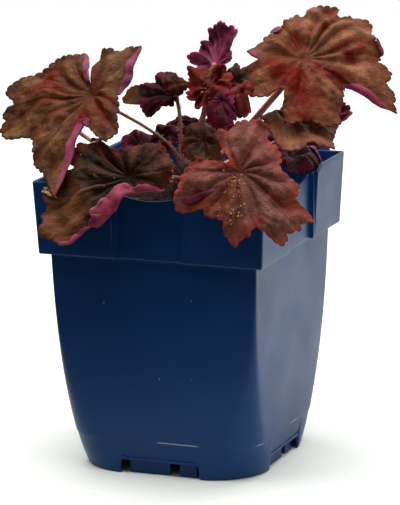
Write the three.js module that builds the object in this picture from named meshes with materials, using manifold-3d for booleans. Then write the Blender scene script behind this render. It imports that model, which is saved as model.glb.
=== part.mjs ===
/*
 * Potted coral bells: a bronze-leaved Heuchera growing in a deep square nursery pot.
 * Millimetres, +Z up. The origin is the middle of the pot's base, on the ground.
 * The pot's front faces -Y and its right side +X.
 */
import * as THREE from "three";
import { mergeVertices } from "three/addons/utils/BufferGeometryUtils.js";
import Module from "manifold-3d";

const wasm = await Module();
wasm.setup();

// Pot: a thin tapered body with a deep straight rim band stepping out round its top.
const potHeight = 135;
const rimFoot = 101.5;
const rimHalfTop = 55;
const rimHalfFoot = 53.3;
const bodyHalfFoot = 43.9;
const bodyFlare = 5.3;
const cornerTop = 0.8;
const cornerFoot = 25.5;
const wall = 1.3;
const floorUnderside = 6.6;
const skirtLedge = 16.3;
const skirtInset = 0.3;
const footRound = 0.8;

// Middle panel of each side of the rim, and the shallow scoop in the top edge above it.
const panelSteps = [{ half: 17.5, depth: 1.6 }, { half: 15.3, depth: 3.5 }];
const scoopHalf = 23;
const scoopDepth = 6.5;

// Foot notches, the short drainage panels set back behind them, and the drain holes.
const notchHalfFoot = 19.5;
const notchHalfTop = 18.5;
const footPanelFace = 41.3;
const footPanels = [[-15.6, 4], [8.7, 17]];
const drainRadius = 3.5;
const drainSpacing = 22;

// Soil, and the clearance kept between pieces that touch.
const gap = 0.3;
const soilLevel = 120;
const soilMound = 1.5;
const soilMoundReach = 75;
const soilRelief = 2.2;
const soilHalf = 56;
const soilCells = 10;
const soilSeed = 11;

// Crown: the short woody stem that every leaf stalk grows from.
const crownFoot = 106;
const crownTop = 138;
const crownGirth = [[crownFoot, 5.5], [118, 7], [126, 8.4], [133, 8.2], [crownTop, 6.2]];
const crownSides = 12;
const stalkSeat = 4.6;

// Leaves. A blade's size towards a turn is the mean of its reaches near that turn: the higher
// the nearness, the fewer of them count.
const bladeThickness = 0.7;
const toothPitch = 3.8;
const toothCut = 0.9;
const deepestCut = 0.12;
const usualBow = 2.5;
const pleatHeight = 1.1;
const widestPleat = 1.8;
const nearness = 12;

// Rings of a blade's points: share of the way out to the margin, and teeth from point to point.
const largeRings = [[0.34, 4], [0.68, 2], [1, 0.5]];
const smallRings = [[0.5, 2], [1, 0.5]];

const finishes = {
  pot: { color: 0x16294f, roughness: 0.42, metalness: 0 },
  soil: { color: 0x2a1d14, roughness: 0.95, metalness: 0 },
  crown: { color: 0x5a3d2c, roughness: 0.85, metalness: 0 },
  bronze: { color: 0x6b4636, roughness: 0.55, metalness: 0 },
  russet: { color: 0x86402f, roughness: 0.5, metalness: 0 },
  magenta: { color: 0x7a2450, roughness: 0.55, metalness: 0 },
  olive: { color: 0x4d3d22, roughness: 0.55, metalness: 0 },
};

// Seven lobes spread evenly round a hub, the middle one longest, and the gap at the stalk.
const lastLobe = 125;
const evenTurns = [-lastLobe, -83, -42, 0, 42, 83, lastLobe];
const lastLobeLoss = 0.55;
const stalkGap = [180, 5];
const evenLobes = (reach) => [
  ...evenTurns.map((turn) => [turn, reach * (1 - lastLobeLoss * Math.abs(turn / lastLobe) ** 1.5)]),
  stalkGap,
];

/*
 * One entry for each leaf. hub: where the stalk meets the blade. heading: the compass direction,
 * from +X towards +Y, in which the blade slopes down, by `slope` degrees.
 * outline: the lobes and gaps of the blade, in order round the hub, each [turn from the downhill
 * line, reach from the hub]. notch: where the points are lobes, the depth of the gaps between them.
 * veins: the turns of the main veins; the blade stands up in a pleat between each two.
 * bow: how far the blade domes between hub and margin. fall: how far it drops for each millimetre
 * out, as [all round, more towards a turn, that turn].
 * stalk: [heading on the crown, height on the crown, rise before it leans, handle at the hub, girth].
 */
const leaves = [
  {
    name: "leaf_left", finish: "bronze", fine: true, hub: [-35.5, -28.5, 170], heading: -110, slope: 45,
    outline: [[-131, 31], [-121, 36], [-114, 39], [-105, 40], [-95, 47], [-87, 51], [-82, 50],
      [-76, 44], [-69, 49], [-65, 47], [-58, 49], [-50, 46], [-46, 42], [-39, 35], [-30, 35],
      [-18, 41], [-8, 43], [0, 46], [5, 50], [11, 55], [13, 40], [14, 27], [19, 18], [28, 20],
      [35, 25], [45, 33], [52, 31], [59, 28], [66, 23], [80, 19], [96, 15], [113, 15], [126, 18],
      [140, 21], [150, 25], [157, 31], [170, 30], [177, 29], [182, 26], [192, 27], [201, 26],
      [205, 20], [208, 12], [214, 6], [219, 16], [221, 29]],
    veins: [-128, -104, -84, -66, -45, -20, 2, 45, 75, 115, 160, 190],
    stalk: [-160, 136, 14, 9, 0.8],
  },
  {
    name: "leaf_rim", finish: "bronze", fine: true, hub: [-7, -58, 140], heading: -95, slope: 60,
    outline: [[-79, 40], [-74, 43], [-67, 41], [-62, 45], [-58, 44], [-52, 48], [-44, 44], [-38, 42],
      [-33, 38], [-31, 31], [-27, 26], [-22, 25], [-17, 19], [-10, 14], [-4, 10], [9, 8], [30, 8],
      [54, 10], [69, 14], [76, 18], [92, 20], [99, 22], [109, 23], [122, 21], [140, 21], [152, 19],
      [165, 18], [180, 15], [205, 14], [219, 16], [225, 21], [229, 27], [233, 30], [239, 30],
      [243, 33], [256, 33], [261, 32], [265, 28], [269, 32], [276, 36]],
    veins: [-68, -52, -35, 85, 108, 135, 165, 205, 237, 258],
    stalk: [-98, 128, 6, 6, 1.2], bow: 1.5, fall: [0, 0.07, -115],
  },
  {
    name: "leaf_front", finish: "russet", fine: true, hub: [46, -60, 146], heading: -80, slope: 60,
    outline: [[-107, 20], [-97, 24], [-85, 27], [-77, 28], [-68, 31], [-57, 32], [-50, 27], [-42, 23],
      [-34, 24], [-16, 23], [-12, 27], [-6, 30], [0, 33], [6, 30], [13, 29], [19, 26], [26, 30],
      [32, 37], [38, 37], [41, 35], [49, 37], [54, 36], [59, 39], [63, 34], [67, 28], [79, 27],
      [87, 22], [98, 18], [113, 19], [128, 20], [142, 19], [150, 21], [157, 25], [170, 25], [187, 25],
      [194, 22], [202, 21], [208, 23], [216, 20], [219, 12], [231, 5], [244, 9], [249, 15]],
    veins: [-85, -57, -30, 0, 30, 58, 82, 112, 150, 180, 205],
    stalk: [-52, 129, 8, 9, 1.3], fall: [0.1, 0, 0],
  },
  {
    name: "leaf_right", finish: "bronze", fine: true, hub: [51, 8.5, 185], heading: -55, slope: 50,
    outline: [[-158, 19], [-146, 19], [-133, 19], [-127, 20], [-119, 20], [-106, 25], [-99, 24],
      [-89, 22], [-85, 27], [-74, 28], [-65, 30], [-57, 32], [-46, 28], [-41, 21], [-34, 23],
      [-28, 30], [-21, 35], [-7, 32], [5, 35], [19, 36], [22, 32], [35, 26], [43, 23], [47, 26],
      [48, 31], [49, 37], [50, 42], [52, 49], [56, 46], [61, 45], [66, 40], [74, 41], [81, 38],
      [84, 35], [88, 37], [93, 38], [99, 37], [108, 36], [113, 39], [119, 39], [127, 35], [131, 35],
      [137, 30], [140, 35], [146, 33], [151, 31], [156, 30], [164, 27], [169, 22], [175, 24],
      [182, 23], [190, 21], [195, 21]],
    veins: [-135, -95, -55, -20, 12, 50, 78, 97, 118, 134, 150, 178],
    stalk: [3, 129, 10, 12, 1.6],
  },
  {
    name: "leaf_side", finish: "magenta", hub: [-8, 0, 166], heading: -130, slope: 60,
    outline: [[-133, 16], [-120, 20], [-112, 21], [-104, 19], [-95, 25], [-92, 27], [-91, 38],
      [-87, 45], [-82, 46], [-78, 44], [-75, 34], [-72, 26], [-68, 23], [-60, 21], [-51, 19],
      [-43, 17], [-31, 12], [-24, 9], [-15, 6], [20, 5], [70, 4], [120, 5], [150, 7], [205, 10]],
    veins: [-125, -105, -84, -60, -45, 60, 170],
    stalk: [185, 137, 10, 5, 0.9],
  },
  {
    name: "leaf_top", finish: "magenta", hub: [12, 0, 182], heading: 70, slope: 100,
    outline: [[-263, 17], [-244, 13], [-229, 14], [-209, 14], [-203, 17], [-190, 18], [-178, 20],
      [-171, 20], [-167, 19], [-157, 20], [-145, 19], [-141, 11], [-125, 11], [-112, 10], [-100, 4],
      [-60, 3], [0, 3], [45, 4], [72, 10]],
    veins: [-255, -225, -200, -178, -155, -120],
    stalk: [70, 137, 14, 3, 1.1],
  },
  {
    name: "leaf_centre", finish: "russet", hub: [12, -7, 174], heading: -95, slope: 55,
    outline: [[-155, 12], [-120, 14], [-90, 12], [-60, 12], [-25, 12], [10, 12], [45, 14], [80, 12],
      [115, 12], [150, 11]],
    veins: [-150, -100, -60, -20, 20, 60, 100, 150],
    stalk: [-60, 137, 14, 8, 1.1], notch: 0.15,
  },
  {
    name: "leaf_low_right", finish: "russet", hub: [44, 2, 159], heading: -55, slope: 20,
    outline: [[-150, 6], [-115, 11], [-60, 12], [-40, 16], [-22, 24], [-8, 29], [4, 28], [12, 26],
      [20, 30], [29, 33], [38, 28], [50, 25], [62, 21], [95, 17], [135, 12]],
    veins: [-120, -60, -25, 0, 28, 55, 100],
    stalk: [-20, 133, 8, 9, 1.1],
  },
  {
    name: "leaf_inner_right", finish: "olive", hub: [40, 20, 137], heading: -5, slope: 30,
    outline: [[-120, 8], [-85, 8], [-58, 13], [-30, 12], [0, 13], [30, 15], [42, 19], [58, 20],
      [73, 21], [86, 22], [97, 21], [115, 17], [145, 14], [190, 10]],
    veins: [-90, -40, 10, 45, 75, 105, 150],
    stalk: [30, 124, 4, 6, 1],
  },
  {
    name: "leaf_behind_right", finish: "magenta", hub: [57, 23, 159], heading: 105, slope: 140,
    outline: [[-128, 10], [-114, 11], [-93, 12], [-80, 11], [-66, 9], [-46, 9], [-32, 11], [-24, 13],
      [-17, 16], [-6, 15], [2, 13], [15, 8], [60, 8], [110, 9], [150, 10], [190, 10]],
    veins: [-125, -93, -50, -15, 40, 120],
    stalk: [32, 133, 10, 5, 1],
  },
  {
    name: "leaf_low_centre", finish: "olive", hub: [14, -20, 150], heading: -105, slope: 35,
    outline: [[-155, 12], [-120, 14], [-85, 11], [-45, 11], [0, 12], [35, 15], [65, 14], [100, 10],
      [150, 8]],
    veins: [-140, -90, -45, 0, 40, 80, 130],
    stalk: [-75, 134, 5, 5, 0.9], notch: 0.12,
  },
  {
    name: "leaf_inner_left", finish: "magenta", hub: [-30, 14, 139], heading: -80, slope: 20,
    outline: [[-178, 11], [-162, 16], [-150, 14], [-130, 14], [-110, 11], [-90, 9], [-60, 9],
      [-20, 12], [10, 14], [40, 12], [80, 11], [120, 12], [150, 11]],
    veins: [-162, -130, -80, -20, 40, 110],
    stalk: [150, 126, 4, 5, 0.9],
  },
  {
    name: "leaf_pointed", finish: "magenta", hub: [-16, 6, 145], heading: -105, slope: 40,
    outline: [[-175, 7], [-165, 12], [-155, 9], [-141, 8], [-120, 7], [-90, 7], [-40, 7], [0, 8],
      [40, 10], [80, 10], [110, 9], [124, 10], [133, 13], [145, 8], [158, 8], [171, 7]],
    veins: [-165, -110, -40, 30, 90, 132],
    stalk: [165, 133, 4, 4, 0.8],
  },
  {
    name: "leaf_olive", finish: "olive", hub: [23, 1, 174], heading: -105, slope: 50,
    outline: [[-178, 9], [-170, 7], [-160, 10], [-145, 10], [-135, 9], [-120, 10], [-105, 9], [-75, 7],
      [-40, 6], [0, 6], [40, 8], [80, 9], [115, 9], [150, 9]],
    veins: [-160, -120, -60, 0, 60, 120],
    stalk: [35, 137, 12, 5, 0.8],
  },
  {
    name: "leaf_maroon", finish: "magenta", hub: [24, -22, 170], heading: -105, slope: 55,
    outline: [[-90, 5], [-40, 7], [-10, 11], [10, 15], [28, 16], [45, 14], [62, 11], [90, 7], [130, 6],
      [180, 6], [225, 5]],
    veins: [-60, 0, 28, 60, 130],
    stalk: [-30, 136, 12, 5, 0.8],
  },
  {
    name: "leaf_orange", finish: "russet", hub: [30, -12, 172], heading: -80, slope: 50,
    outline: [[-110, 6], [-60, 9], [-35, 11], [-10, 12], [10, 13], [25, 11], [38, 6], [70, 5],
      [120, 6], [160, 6], [200, 5]],
    veins: [-90, -35, 5, 60, 150],
    stalk: [2, 137, 12, 5, 0.8],
  },
  {
    name: "leaf_curl", finish: "russet", hub: [9, 8, 176], heading: -105, slope: 50,
    outline: [[-150, 5], [-100, 6], [-50, 6], [0, 6], [50, 5], [100, 4], [150, 4]],
    veins: [-120, -50, 20, 90],
    stalk: [112, 134, 15, 3, 0.8], bow: -1,
  },
  {
    name: "leaf_hook", finish: "olive", hub: [-4, -6, 173], heading: -60, slope: 45,
    outline: [[-160, 8], [-110, 7], [-60, 6], [-20, 6], [20, 5], [80, 5], [150, 5]],
    veins: [-130, -60, 0, 80],
    stalk: [240, 137, 12, 4, 0.6],
  },
  {
    name: "leaf_back_left", finish: "bronze", hub: [-18, 60, 140], heading: 102, slope: 62,
    outline: evenLobes(30), veins: evenTurns, stalk: [108, 127, 6, 7, 1.2], notch: 0.12, fall: [0.1, 0, 0],
  },
  {
    name: "leaf_back_right", finish: "bronze", hub: [26, 60, 140], heading: 84, slope: 62,
    outline: evenLobes(29), veins: evenTurns, stalk: [62, 128, 6, 7, 1.2], notch: 0.12, fall: [0.1, 0, 0],
  },
  {
    name: "leaf_back_side", finish: "bronze", hub: [-65, 15, 148], heading: 175, slope: 5,
    outline: evenLobes(28.5), veins: evenTurns, stalk: [175, 124, 2, 7, 1.1], notch: 0.12,
  },
];

// ---------- solids ----------

function toSolid(geometry) {
  const bare = geometry.index ? geometry.clone() : geometry;
  bare.deleteAttribute("normal");
  bare.deleteAttribute("uv");
  const merged = mergeVertices(bare, 1e-4);
  const mesh = new wasm.Mesh({
    numProp: 3,
    vertProperties: Float32Array.from(merged.attributes.position.array),
    triVerts: Uint32Array.from(merged.index.array),
  });
  return new wasm.Manifold(mesh);
}

function toMesh(solid, name, finish) {
  const { vertProperties, triVerts } = solid.getMesh();
  const geometry = new THREE.BufferGeometry();
  geometry.setAttribute("position", new THREE.BufferAttribute(Float32Array.from(vertProperties), 3));
  geometry.setIndex(Array.from(triVerts));
  geometry.computeVertexNormals();
  const mesh = new THREE.Mesh(geometry, new THREE.MeshStandardMaterial(finishes[finish]));
  mesh.name = name;
  return mesh;
}

function meshFrom(points, faces) {
  const geometry = new THREE.BufferGeometry();
  geometry.setAttribute("position", new THREE.Float32BufferAttribute(points.flatMap((p) => p.toArray()), 3));
  geometry.setIndex(faces.flat());
  return geometry;
}

// A closed skin over rings of equal length, from the lowest to the highest, capped by fans.
function loft(rings) {
  const count = rings[0].length;
  const points = rings.flat();
  const faces = [];
  for (let level = 0; level + 1 < rings.length; level++) {
    for (let i = 0; i < count; i++) {
      const a = level * count + i;
      const b = level * count + (i + 1) % count;
      faces.push([a, b, b + count], [a, b + count, a + count]);
    }
  }
  const centre = (ring) => ring.reduce((sum, p) => sum.add(p), new THREE.Vector3()).divideScalar(count);
  const last = (rings.length - 1) * count;
  points.push(centre(rings[0]), centre(rings[rings.length - 1]));
  for (let i = 0; i < count; i++) {
    const next = (i + 1) % count;
    faces.push([points.length - 2, next, i], [points.length - 1, last + i, last + next]);
  }
  return toSolid(meshFrom(points, faces));
}

function box(x0, x1, y0, y1, z0, z1) {
  const geometry = new THREE.BoxGeometry(x1 - x0, y1 - y0, z1 - z0);
  return toSolid(geometry.translate((x0 + x1) / 2, (y0 + y1) / 2, (z0 + z1) / 2));
}

// An outline of [across, height] points, carried right through the pot along Y.
function throughY(outline, reach) {
  const shape = new THREE.Shape(outline.map(([x, z]) => new THREE.Vector2(x, z)));
  const geometry = new THREE.ExtrudeGeometry(shape, { depth: 2 * reach, bevelEnabled: false });
  return toSolid(geometry.rotateX(Math.PI / 2).translate(0, reach, 0));
}

const sides = [0, 90, 180, 270];
const turned = (solid, degrees) => solid.rotate([0, 0, degrees]);

// ---------- pot ----------

function squareRing(half, radius, z, arcSteps = 5) {
  const ring = [];
  for (let corner = 0; corner < 4; corner++) {
    const middle = Math.PI / 4 + corner * Math.PI / 2;
    const cx = Math.sign(Math.cos(middle)) * (half - radius);
    const cy = Math.sign(Math.sin(middle)) * (half - radius);
    for (let step = 0; step <= arcSteps; step++) {
      const angle = (corner + step / arcSteps) * Math.PI / 2;
      ring.push(new THREE.Vector3(cx + radius * Math.cos(angle), cy + radius * Math.sin(angle), z));
    }
  }
  return ring;
}

function bodyRing(z, inset) {
  const t = Math.min(Math.max(z / rimFoot, 0), 1);
  const half = bodyHalfFoot + bodyFlare * t ** 0.6 - inset;
  const radius = cornerTop + cornerFoot * (1 - t) ** 2.55 - inset;
  return squareRing(half, Math.max(radius, 0.4), z);
}

function rimRing(z, inset) {
  const t = (z - rimFoot) / (potHeight - rimFoot);
  return squareRing(THREE.MathUtils.lerp(rimHalfFoot, rimHalfTop, t) - inset, 0.8, z, 2);
}

// The pot's form drawn in by `inset`: the outside at 0, the hollow at the wall's thickness.
function potForm(inset, bottom, top) {
  const outside = inset === 0;
  const shoulder = rimFoot + inset + 0.5;
  const rings = outside
    ? [[0, footRound], [1, skirtInset], [8, skirtInset], [skirtLedge - 0.3, skirtInset], [skirtLedge, 0],
      [27, 0], [42, 0], [64, 0], [shoulder, 0]]
    : [[bottom, 0], [18, 0], [38, 0], [64, 0], [shoulder, 0]];
  const body = loft(rings.map(([z, extra]) => bodyRing(z, inset + extra)));
  const foot = rimFoot + inset;
  const rim = loft([rimRing(foot, inset + 0.6), rimRing(foot + 0.8, inset), rimRing(top, inset)]);
  let form = body.add(rim);
  for (const { half, depth } of panelSteps) {
    const face = rimHalfTop - depth - inset;
    const panel = box(-half - inset, half + inset, -rimHalfTop - 5, -face, rimFoot - 1, top + 1);
    for (const side of sides) form = form.subtract(turned(panel, side));
  }
  return form;
}

function scoopOutline() {
  const outline = [[scoopHalf, potHeight + 5], [-scoopHalf, potHeight + 5]];
  const steps = 10;
  for (let i = 0; i <= steps; i++) {
    const across = -scoopHalf + (2 * scoopHalf * i) / steps;
    outline.push([across, potHeight - scoopDepth * (1 - (across / scoopHalf) ** 2)]);
  }
  return outline;
}

function makePot() {
  const floorTop = floorUnderside + wall;
  let pot = potForm(0, 0, potHeight).subtract(potForm(wall, floorTop, potHeight + 2));
  const scoop = throughY(scoopOutline(), 70);
  const underside = loft([bodyRing(-1, wall + skirtInset), bodyRing(floorUnderside, wall + skirtInset)]);
  const notch = throughY([[-notchHalfFoot, -1], [notchHalfFoot, -1],
    [notchHalfTop, floorUnderside], [-notchHalfTop, floorUnderside]], 70);
  pot = pot.subtract(scoop).subtract(turned(scoop, 90));
  pot = pot.subtract(underside).subtract(notch).subtract(turned(notch, 90));
  for (const side of sides) {
    for (const [from, to] of footPanels) {
      const panel = box(from, to, -footPanelFace, wall - footPanelFace, 0, floorUnderside + wall / 2);
      pot = pot.add(turned(panel, side));
    }
    const drain = new THREE.CylinderGeometry(drainRadius, drainRadius, 4 * wall, 10).rotateX(Math.PI / 2);
    drain.translate(drainSpacing, drainSpacing, floorUnderside);
    pot = pot.subtract(turned(toSolid(drain), side));
  }
  return pot;
}

// ---------- soil and crown ----------

function seededRandom(seed) {
  let state = seed;
  return () => {
    state = (state * 1664525 + 1013904223) % 4294967296;
    return state / 4294967296;
  };
}

// A slab whose top is a grid of small clods and hollows, level `soilLevel` on average.
function soilSlab() {
  const random = seededRandom(soilSeed);
  const points = [];
  const faces = [];
  const row = soilCells + 1;
  for (let j = 0; j <= soilCells; j++) {
    for (let i = 0; i <= soilCells; i++) {
      const x = -soilHalf + (2 * soilHalf * i) / soilCells;
      const y = -soilHalf + (2 * soilHalf * j) / soilCells;
      const mound = soilMound * Math.cos((Math.PI * Math.hypot(x, y)) / soilMoundReach);
      points.push(new THREE.Vector3(x, y, soilLevel + mound + soilRelief * (random() - 0.5)));
    }
  }
  for (let j = 0; j < soilCells; j++) {
    for (let i = 0; i < soilCells; i++) {
      const a = j * row + i;
      faces.push([a, a + 1, a + row + 1], [a, a + row + 1, a + row]);
    }
  }
  const rim = [];
  for (let i = 0; i < soilCells; i++) rim.push(i);
  for (let j = 0; j < soilCells; j++) rim.push(j * row + soilCells);
  for (let i = soilCells; i > 0; i--) rim.push(soilCells * row + i);
  for (let j = soilCells; j > 0; j--) rim.push(j * row);
  const base = points.length;
  for (const index of rim) points.push(points[index].clone().setZ(0));
  points.push(new THREE.Vector3());
  for (let i = 0; i < rim.length; i++) {
    const next = (i + 1) % rim.length;
    faces.push([rim[i], base + i, base + next], [rim[i], base + next, rim[next]]);
    faces.push([points.length - 1, base + next, base + i]);
  }
  return toSolid(meshFrom(points, faces));
}

function makeSoil() {
  const lift = floorUnderside + wall + gap;
  return potForm(wall + gap, lift, potHeight - 5).intersect(soilSlab()).subtract(crownForm(gap));
}

// The crown grown outwards by `extra`, with a knobbly outline where old stalks have dropped off.
function crownForm(extra) {
  const rings = crownGirth.map(([z, girth], level) => {
    const height = z + (level === 0 ? -extra : 0) + (level === crownGirth.length - 1 ? extra : 0);
    const ring = [];
    for (let i = 0; i < crownSides; i++) {
      const angle = (2 * Math.PI * i) / crownSides;
      const knob = 1 + 0.07 * Math.cos(3 * angle + 1.3 * level);
      const radius = girth * knob + extra;
      ring.push(new THREE.Vector3(radius * Math.cos(angle), radius * Math.sin(angle), height));
    }
    return ring;
  });
  return loft(rings);
}

// ---------- leaves ----------

const radians = THREE.MathUtils.degToRad;

function bladeFrame({ heading, slope }) {
  const h = radians(heading);
  const s = radians(slope);
  const normal = new THREE.Vector3(Math.sin(s) * Math.cos(h), Math.sin(s) * Math.sin(h), Math.cos(s));
  const down = new THREE.Vector3(Math.cos(s) * Math.cos(h), Math.cos(s) * Math.sin(h), -Math.sin(s));
  return { down, across: normal.clone().cross(down), normal };
}

// Nothing at whole numbers and one midway, with round tops and pointed gaps.
const arch = (n) => 1 - Math.sqrt(Math.abs(Math.cos(Math.PI * n)));

// A place on the margin, told by its tooth: the smooth curve through the outline, less the notch
// between lobes and the cut between teeth.
function marginPlace(leaf, tooth) {
  const t = leaf.curve.getUtoTmapping(tooth / leaf.teeth);
  const place = leaf.curve.getPoint(t);
  const cut = Math.min(toothCut / place.length(), deepestCut) * arch(tooth);
  return place.multiplyScalar((1 - leaf.notch * arch(t * leaf.outline.length)) * (1 - cut));
}

// The blade's size towards a turn: the mean of its outline's reaches, those near the turn most.
function sizeTowards(leaf, turn) {
  let near = 0;
  let sum = 0;
  for (const [at, reach] of leaf.outline) {
    const weight = Math.exp(nearness * (Math.cos(turn - radians(at)) - 1));
    near += weight;
    sum += weight * reach;
  }
  return sum / near;
}

// The share of its full height that the pleat has towards a turn: none on the veins, most midway.
function pleatTowards(leaf, turn) {
  const full = 2 * Math.PI;
  for (let k = 0; k < leaf.veins.length; k++) {
    const from = radians(leaf.veins[k]);
    const to = radians(leaf.veins[(k + 1) % leaf.veins.length]);
    const wide = ((to - from) % full + full) % full;
    const across = (((turn - from) % full + full) % full) / wide;
    if (across <= 1) return Math.sin(Math.PI * across) ** 2 * Math.min(Math.max(widestPleat - wide, 0), 1);
  }
  return 0;
}

// A point of the blade's middle surface over a place on its plane: the bow, the pleats, the fall.
function bladePoint(leaf, place) {
  const reach = place.length();
  const turn = Math.atan2(place.y, place.x);
  const out = Math.min(reach / sizeTowards(leaf, turn), 1);
  const swell = 4 * out * (1 - out);
  const [allRound, extra, toward] = leaf.fall;
  const drop = reach * (allRound + extra * Math.max(Math.cos(turn - radians(toward)), 0));
  const rise = leaf.bow * swell + pleatHeight * pleatTowards(leaf, turn) * swell - drop;
  return leaf.centre.clone()
    .addScaledVector(leaf.frame.down, place.x)
    .addScaledVector(leaf.frame.across, place.y)
    .addScaledVector(leaf.frame.normal, rise);
}

// Triangles between two closed rings of vertex numbers, the outer one finer.
function stitch(inner, outer) {
  const faces = [];
  let i = 0;
  let j = 0;
  while (i < inner.length || j < outer.length) {
    const a = inner[i % inner.length];
    const b = outer[j % outer.length];
    if (i === inner.length || (j + 1) * inner.length <= (i + 1) * outer.length) {
      j += 1;
      faces.push([a, b, outer[j % outer.length]]);
    } else {
      i += 1;
      faces.push([a, b, inner[i % inner.length]]);
    }
  }
  return faces;
}

// The blade as one thin closed solid: both faces share one pattern of triangles.
function makeBlade(leaf) {
  const middle = [bladePoint(leaf, new THREE.Vector3())];
  const numbers = [];
  for (const [share, teethApart] of leaf.fine ? largeRings : smallRings) {
    const ring = [];
    const count = Math.round(leaf.teeth / teethApart);
    for (let k = 0; k < count; k++) {
      ring.push(middle.length);
      middle.push(bladePoint(leaf, marginPlace(leaf, (k * leaf.teeth) / count).multiplyScalar(share)));
    }
    numbers.push(ring);
  }
  let faces = numbers[0].map((a, k) => [0, a, numbers[0][(k + 1) % numbers[0].length]]);
  for (let k = 0; k + 1 < numbers.length; k++) faces = faces.concat(stitch(numbers[k], numbers[k + 1]));
  const skin = meshFrom(middle, faces);
  skin.computeVertexNormals();
  const shift = (sign) => middle.map((p, k) =>
    new THREE.Vector3().fromBufferAttribute(skin.attributes.normal, k)
      .multiplyScalar(sign * bladeThickness / 2).add(p));
  const count = middle.length;
  const margin = numbers[numbers.length - 1];
  const under = faces.map(([a, b, c]) => [a + count, c + count, b + count]);
  const rim = margin.flatMap((a, k) => {
    const b = margin[(k + 1) % margin.length];
    return [[a, a + count, b + count], [a, b + count, b]];
  });
  return toSolid(meshFrom([...shift(1), ...shift(-1)], [...faces, ...under, ...rim]));
}

// The stalk, from inside the crown up and over to the underside of the hub.
function makeStalk(leaf) {
  const [heading, height, rise, handle, girth] = leaf.stalk;
  const out = new THREE.Vector3(Math.cos(radians(heading)), Math.sin(radians(heading)), 0);
  const seat = out.clone().multiplyScalar(stalkSeat).setZ(height);
  const spread = Math.min(Math.max((crownTop - height) / 10, 0.1), 0.9);
  const lean = seat.clone().addScaledVector(out, rise * spread);
  lean.z += rise;
  const grip = leaf.centre.clone().addScaledVector(leaf.frame.normal, -handle);
  const path = new THREE.CubicBezierCurve3(seat, lean, grip, leaf.centre);
  const sidesRound = leaf.fine ? 6 : 5;
  const section = new THREE.Shape(Array.from({ length: sidesRound }, (_, k) => {
    const angle = (2 * Math.PI * k) / sidesRound;
    return new THREE.Vector2(girth * Math.cos(angle), girth * Math.sin(angle));
  }));
  const steps = leaf.fine ? 9 : 7;
  return toSolid(new THREE.ExtrudeGeometry(section, { steps, extrudePath: path, bevelEnabled: false }));
}

function makeLeaf(entry, crownSeat) {
  const leaf = { notch: 0, bow: usualBow, fall: [0, 0, 0], ...entry };
  leaf.frame = bladeFrame(leaf);
  leaf.centre = new THREE.Vector3(...leaf.hub);
  const corners = leaf.outline.map(([turn, reach]) =>
    new THREE.Vector3(reach * Math.cos(radians(turn)), reach * Math.sin(radians(turn)), 0));
  leaf.curve = new THREE.CatmullRomCurve3(corners, true, "catmullrom", 0.5);
  leaf.curve.arcLengthDivisions = 24 * corners.length;
  leaf.teeth = 2 * Math.round(leaf.curve.getLength() / toothPitch / 2);
  return makeBlade(leaf).add(makeStalk(leaf)).subtract(crownSeat);
}

// ---------- assembly ----------

const plant = new THREE.Group();
plant.add(toMesh(makePot(), "pot", "pot"));
plant.add(toMesh(makeSoil(), "soil", "soil"));
plant.add(toMesh(crownForm(0), "crown", "crown"));
const crownSeat = crownForm(gap);
for (const leaf of leaves) plant.add(toMesh(makeLeaf(leaf, crownSeat), leaf.name, leaf.finish));

export default plant;
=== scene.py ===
import bpy
import numpy as np
from mathutils import Matrix


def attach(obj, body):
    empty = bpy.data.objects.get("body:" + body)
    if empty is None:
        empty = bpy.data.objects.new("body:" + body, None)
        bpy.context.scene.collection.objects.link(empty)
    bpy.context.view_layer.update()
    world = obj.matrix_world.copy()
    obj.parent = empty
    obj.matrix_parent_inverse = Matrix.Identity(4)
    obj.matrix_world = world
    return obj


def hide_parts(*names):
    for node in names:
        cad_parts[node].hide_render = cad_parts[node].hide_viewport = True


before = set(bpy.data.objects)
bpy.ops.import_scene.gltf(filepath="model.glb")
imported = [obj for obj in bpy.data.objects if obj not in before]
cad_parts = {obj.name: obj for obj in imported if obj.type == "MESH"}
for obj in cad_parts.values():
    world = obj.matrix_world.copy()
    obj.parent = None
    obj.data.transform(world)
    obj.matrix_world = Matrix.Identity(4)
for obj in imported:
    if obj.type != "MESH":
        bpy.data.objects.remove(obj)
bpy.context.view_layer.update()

# ---------- Pot ----------
# A deep square nursery pot, injection moulded in thin dark-blue polypropylene with a satin face.
# The tapered body has wide round corners at the foot, and the straight rim band steps out round
# its top. Each side of the band has a stepped middle panel with a shallow scoop above it.
MM = 0.001
WALL, POT_HEIGHT = 1.3, 135.0
BODY_HALF, BODY_FLARE = 43.9, 5.3
CORNER, FOOT_CORNER_FLARE, LEAST_CORNER = 0.8, 25.5, 0.4
LEDGE = 15.9
RIM_FOOT, RIM_HALF, RIM_FLARE = 101.5, 53.3, 1.7
SCOOP_FOOT, SCOOP_HALF, SCOOP_DEPTH = 118.0, 23.0, 6.5
PANEL_HALVES, PANEL_FACES = (17.5, 15.3), (53.4, 51.5)
NOTCH_HALF_TOP, NOTCH_HALF_FOOT, NOTCH_HEIGHT = 18.5, 19.5, 6.6
FOOT_PANELS, FOOT_PANEL_FACE, FOOT_PANEL_HEIGHT = ((-15.6, 4.0), (8.7, 17.0)), 41.3, 7.2
FLOOR_LEVEL, FLOOR_INSET = 7.0, 0.6
DRAIN_RADIUS, DRAIN_SPACING = 3.5, 22.0


def paint(red, green, blue):
    """A colour given as it looks on screen, 0 to 255, turned into the linear values that light uses."""
    seen = np.array([red, green, blue]) / 255
    linear = np.where(seen < 0.04045, seen / 12.92, ((seen + 0.055) / 1.055) ** 2.4)
    return (*linear.tolist(), 1.0)


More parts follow.
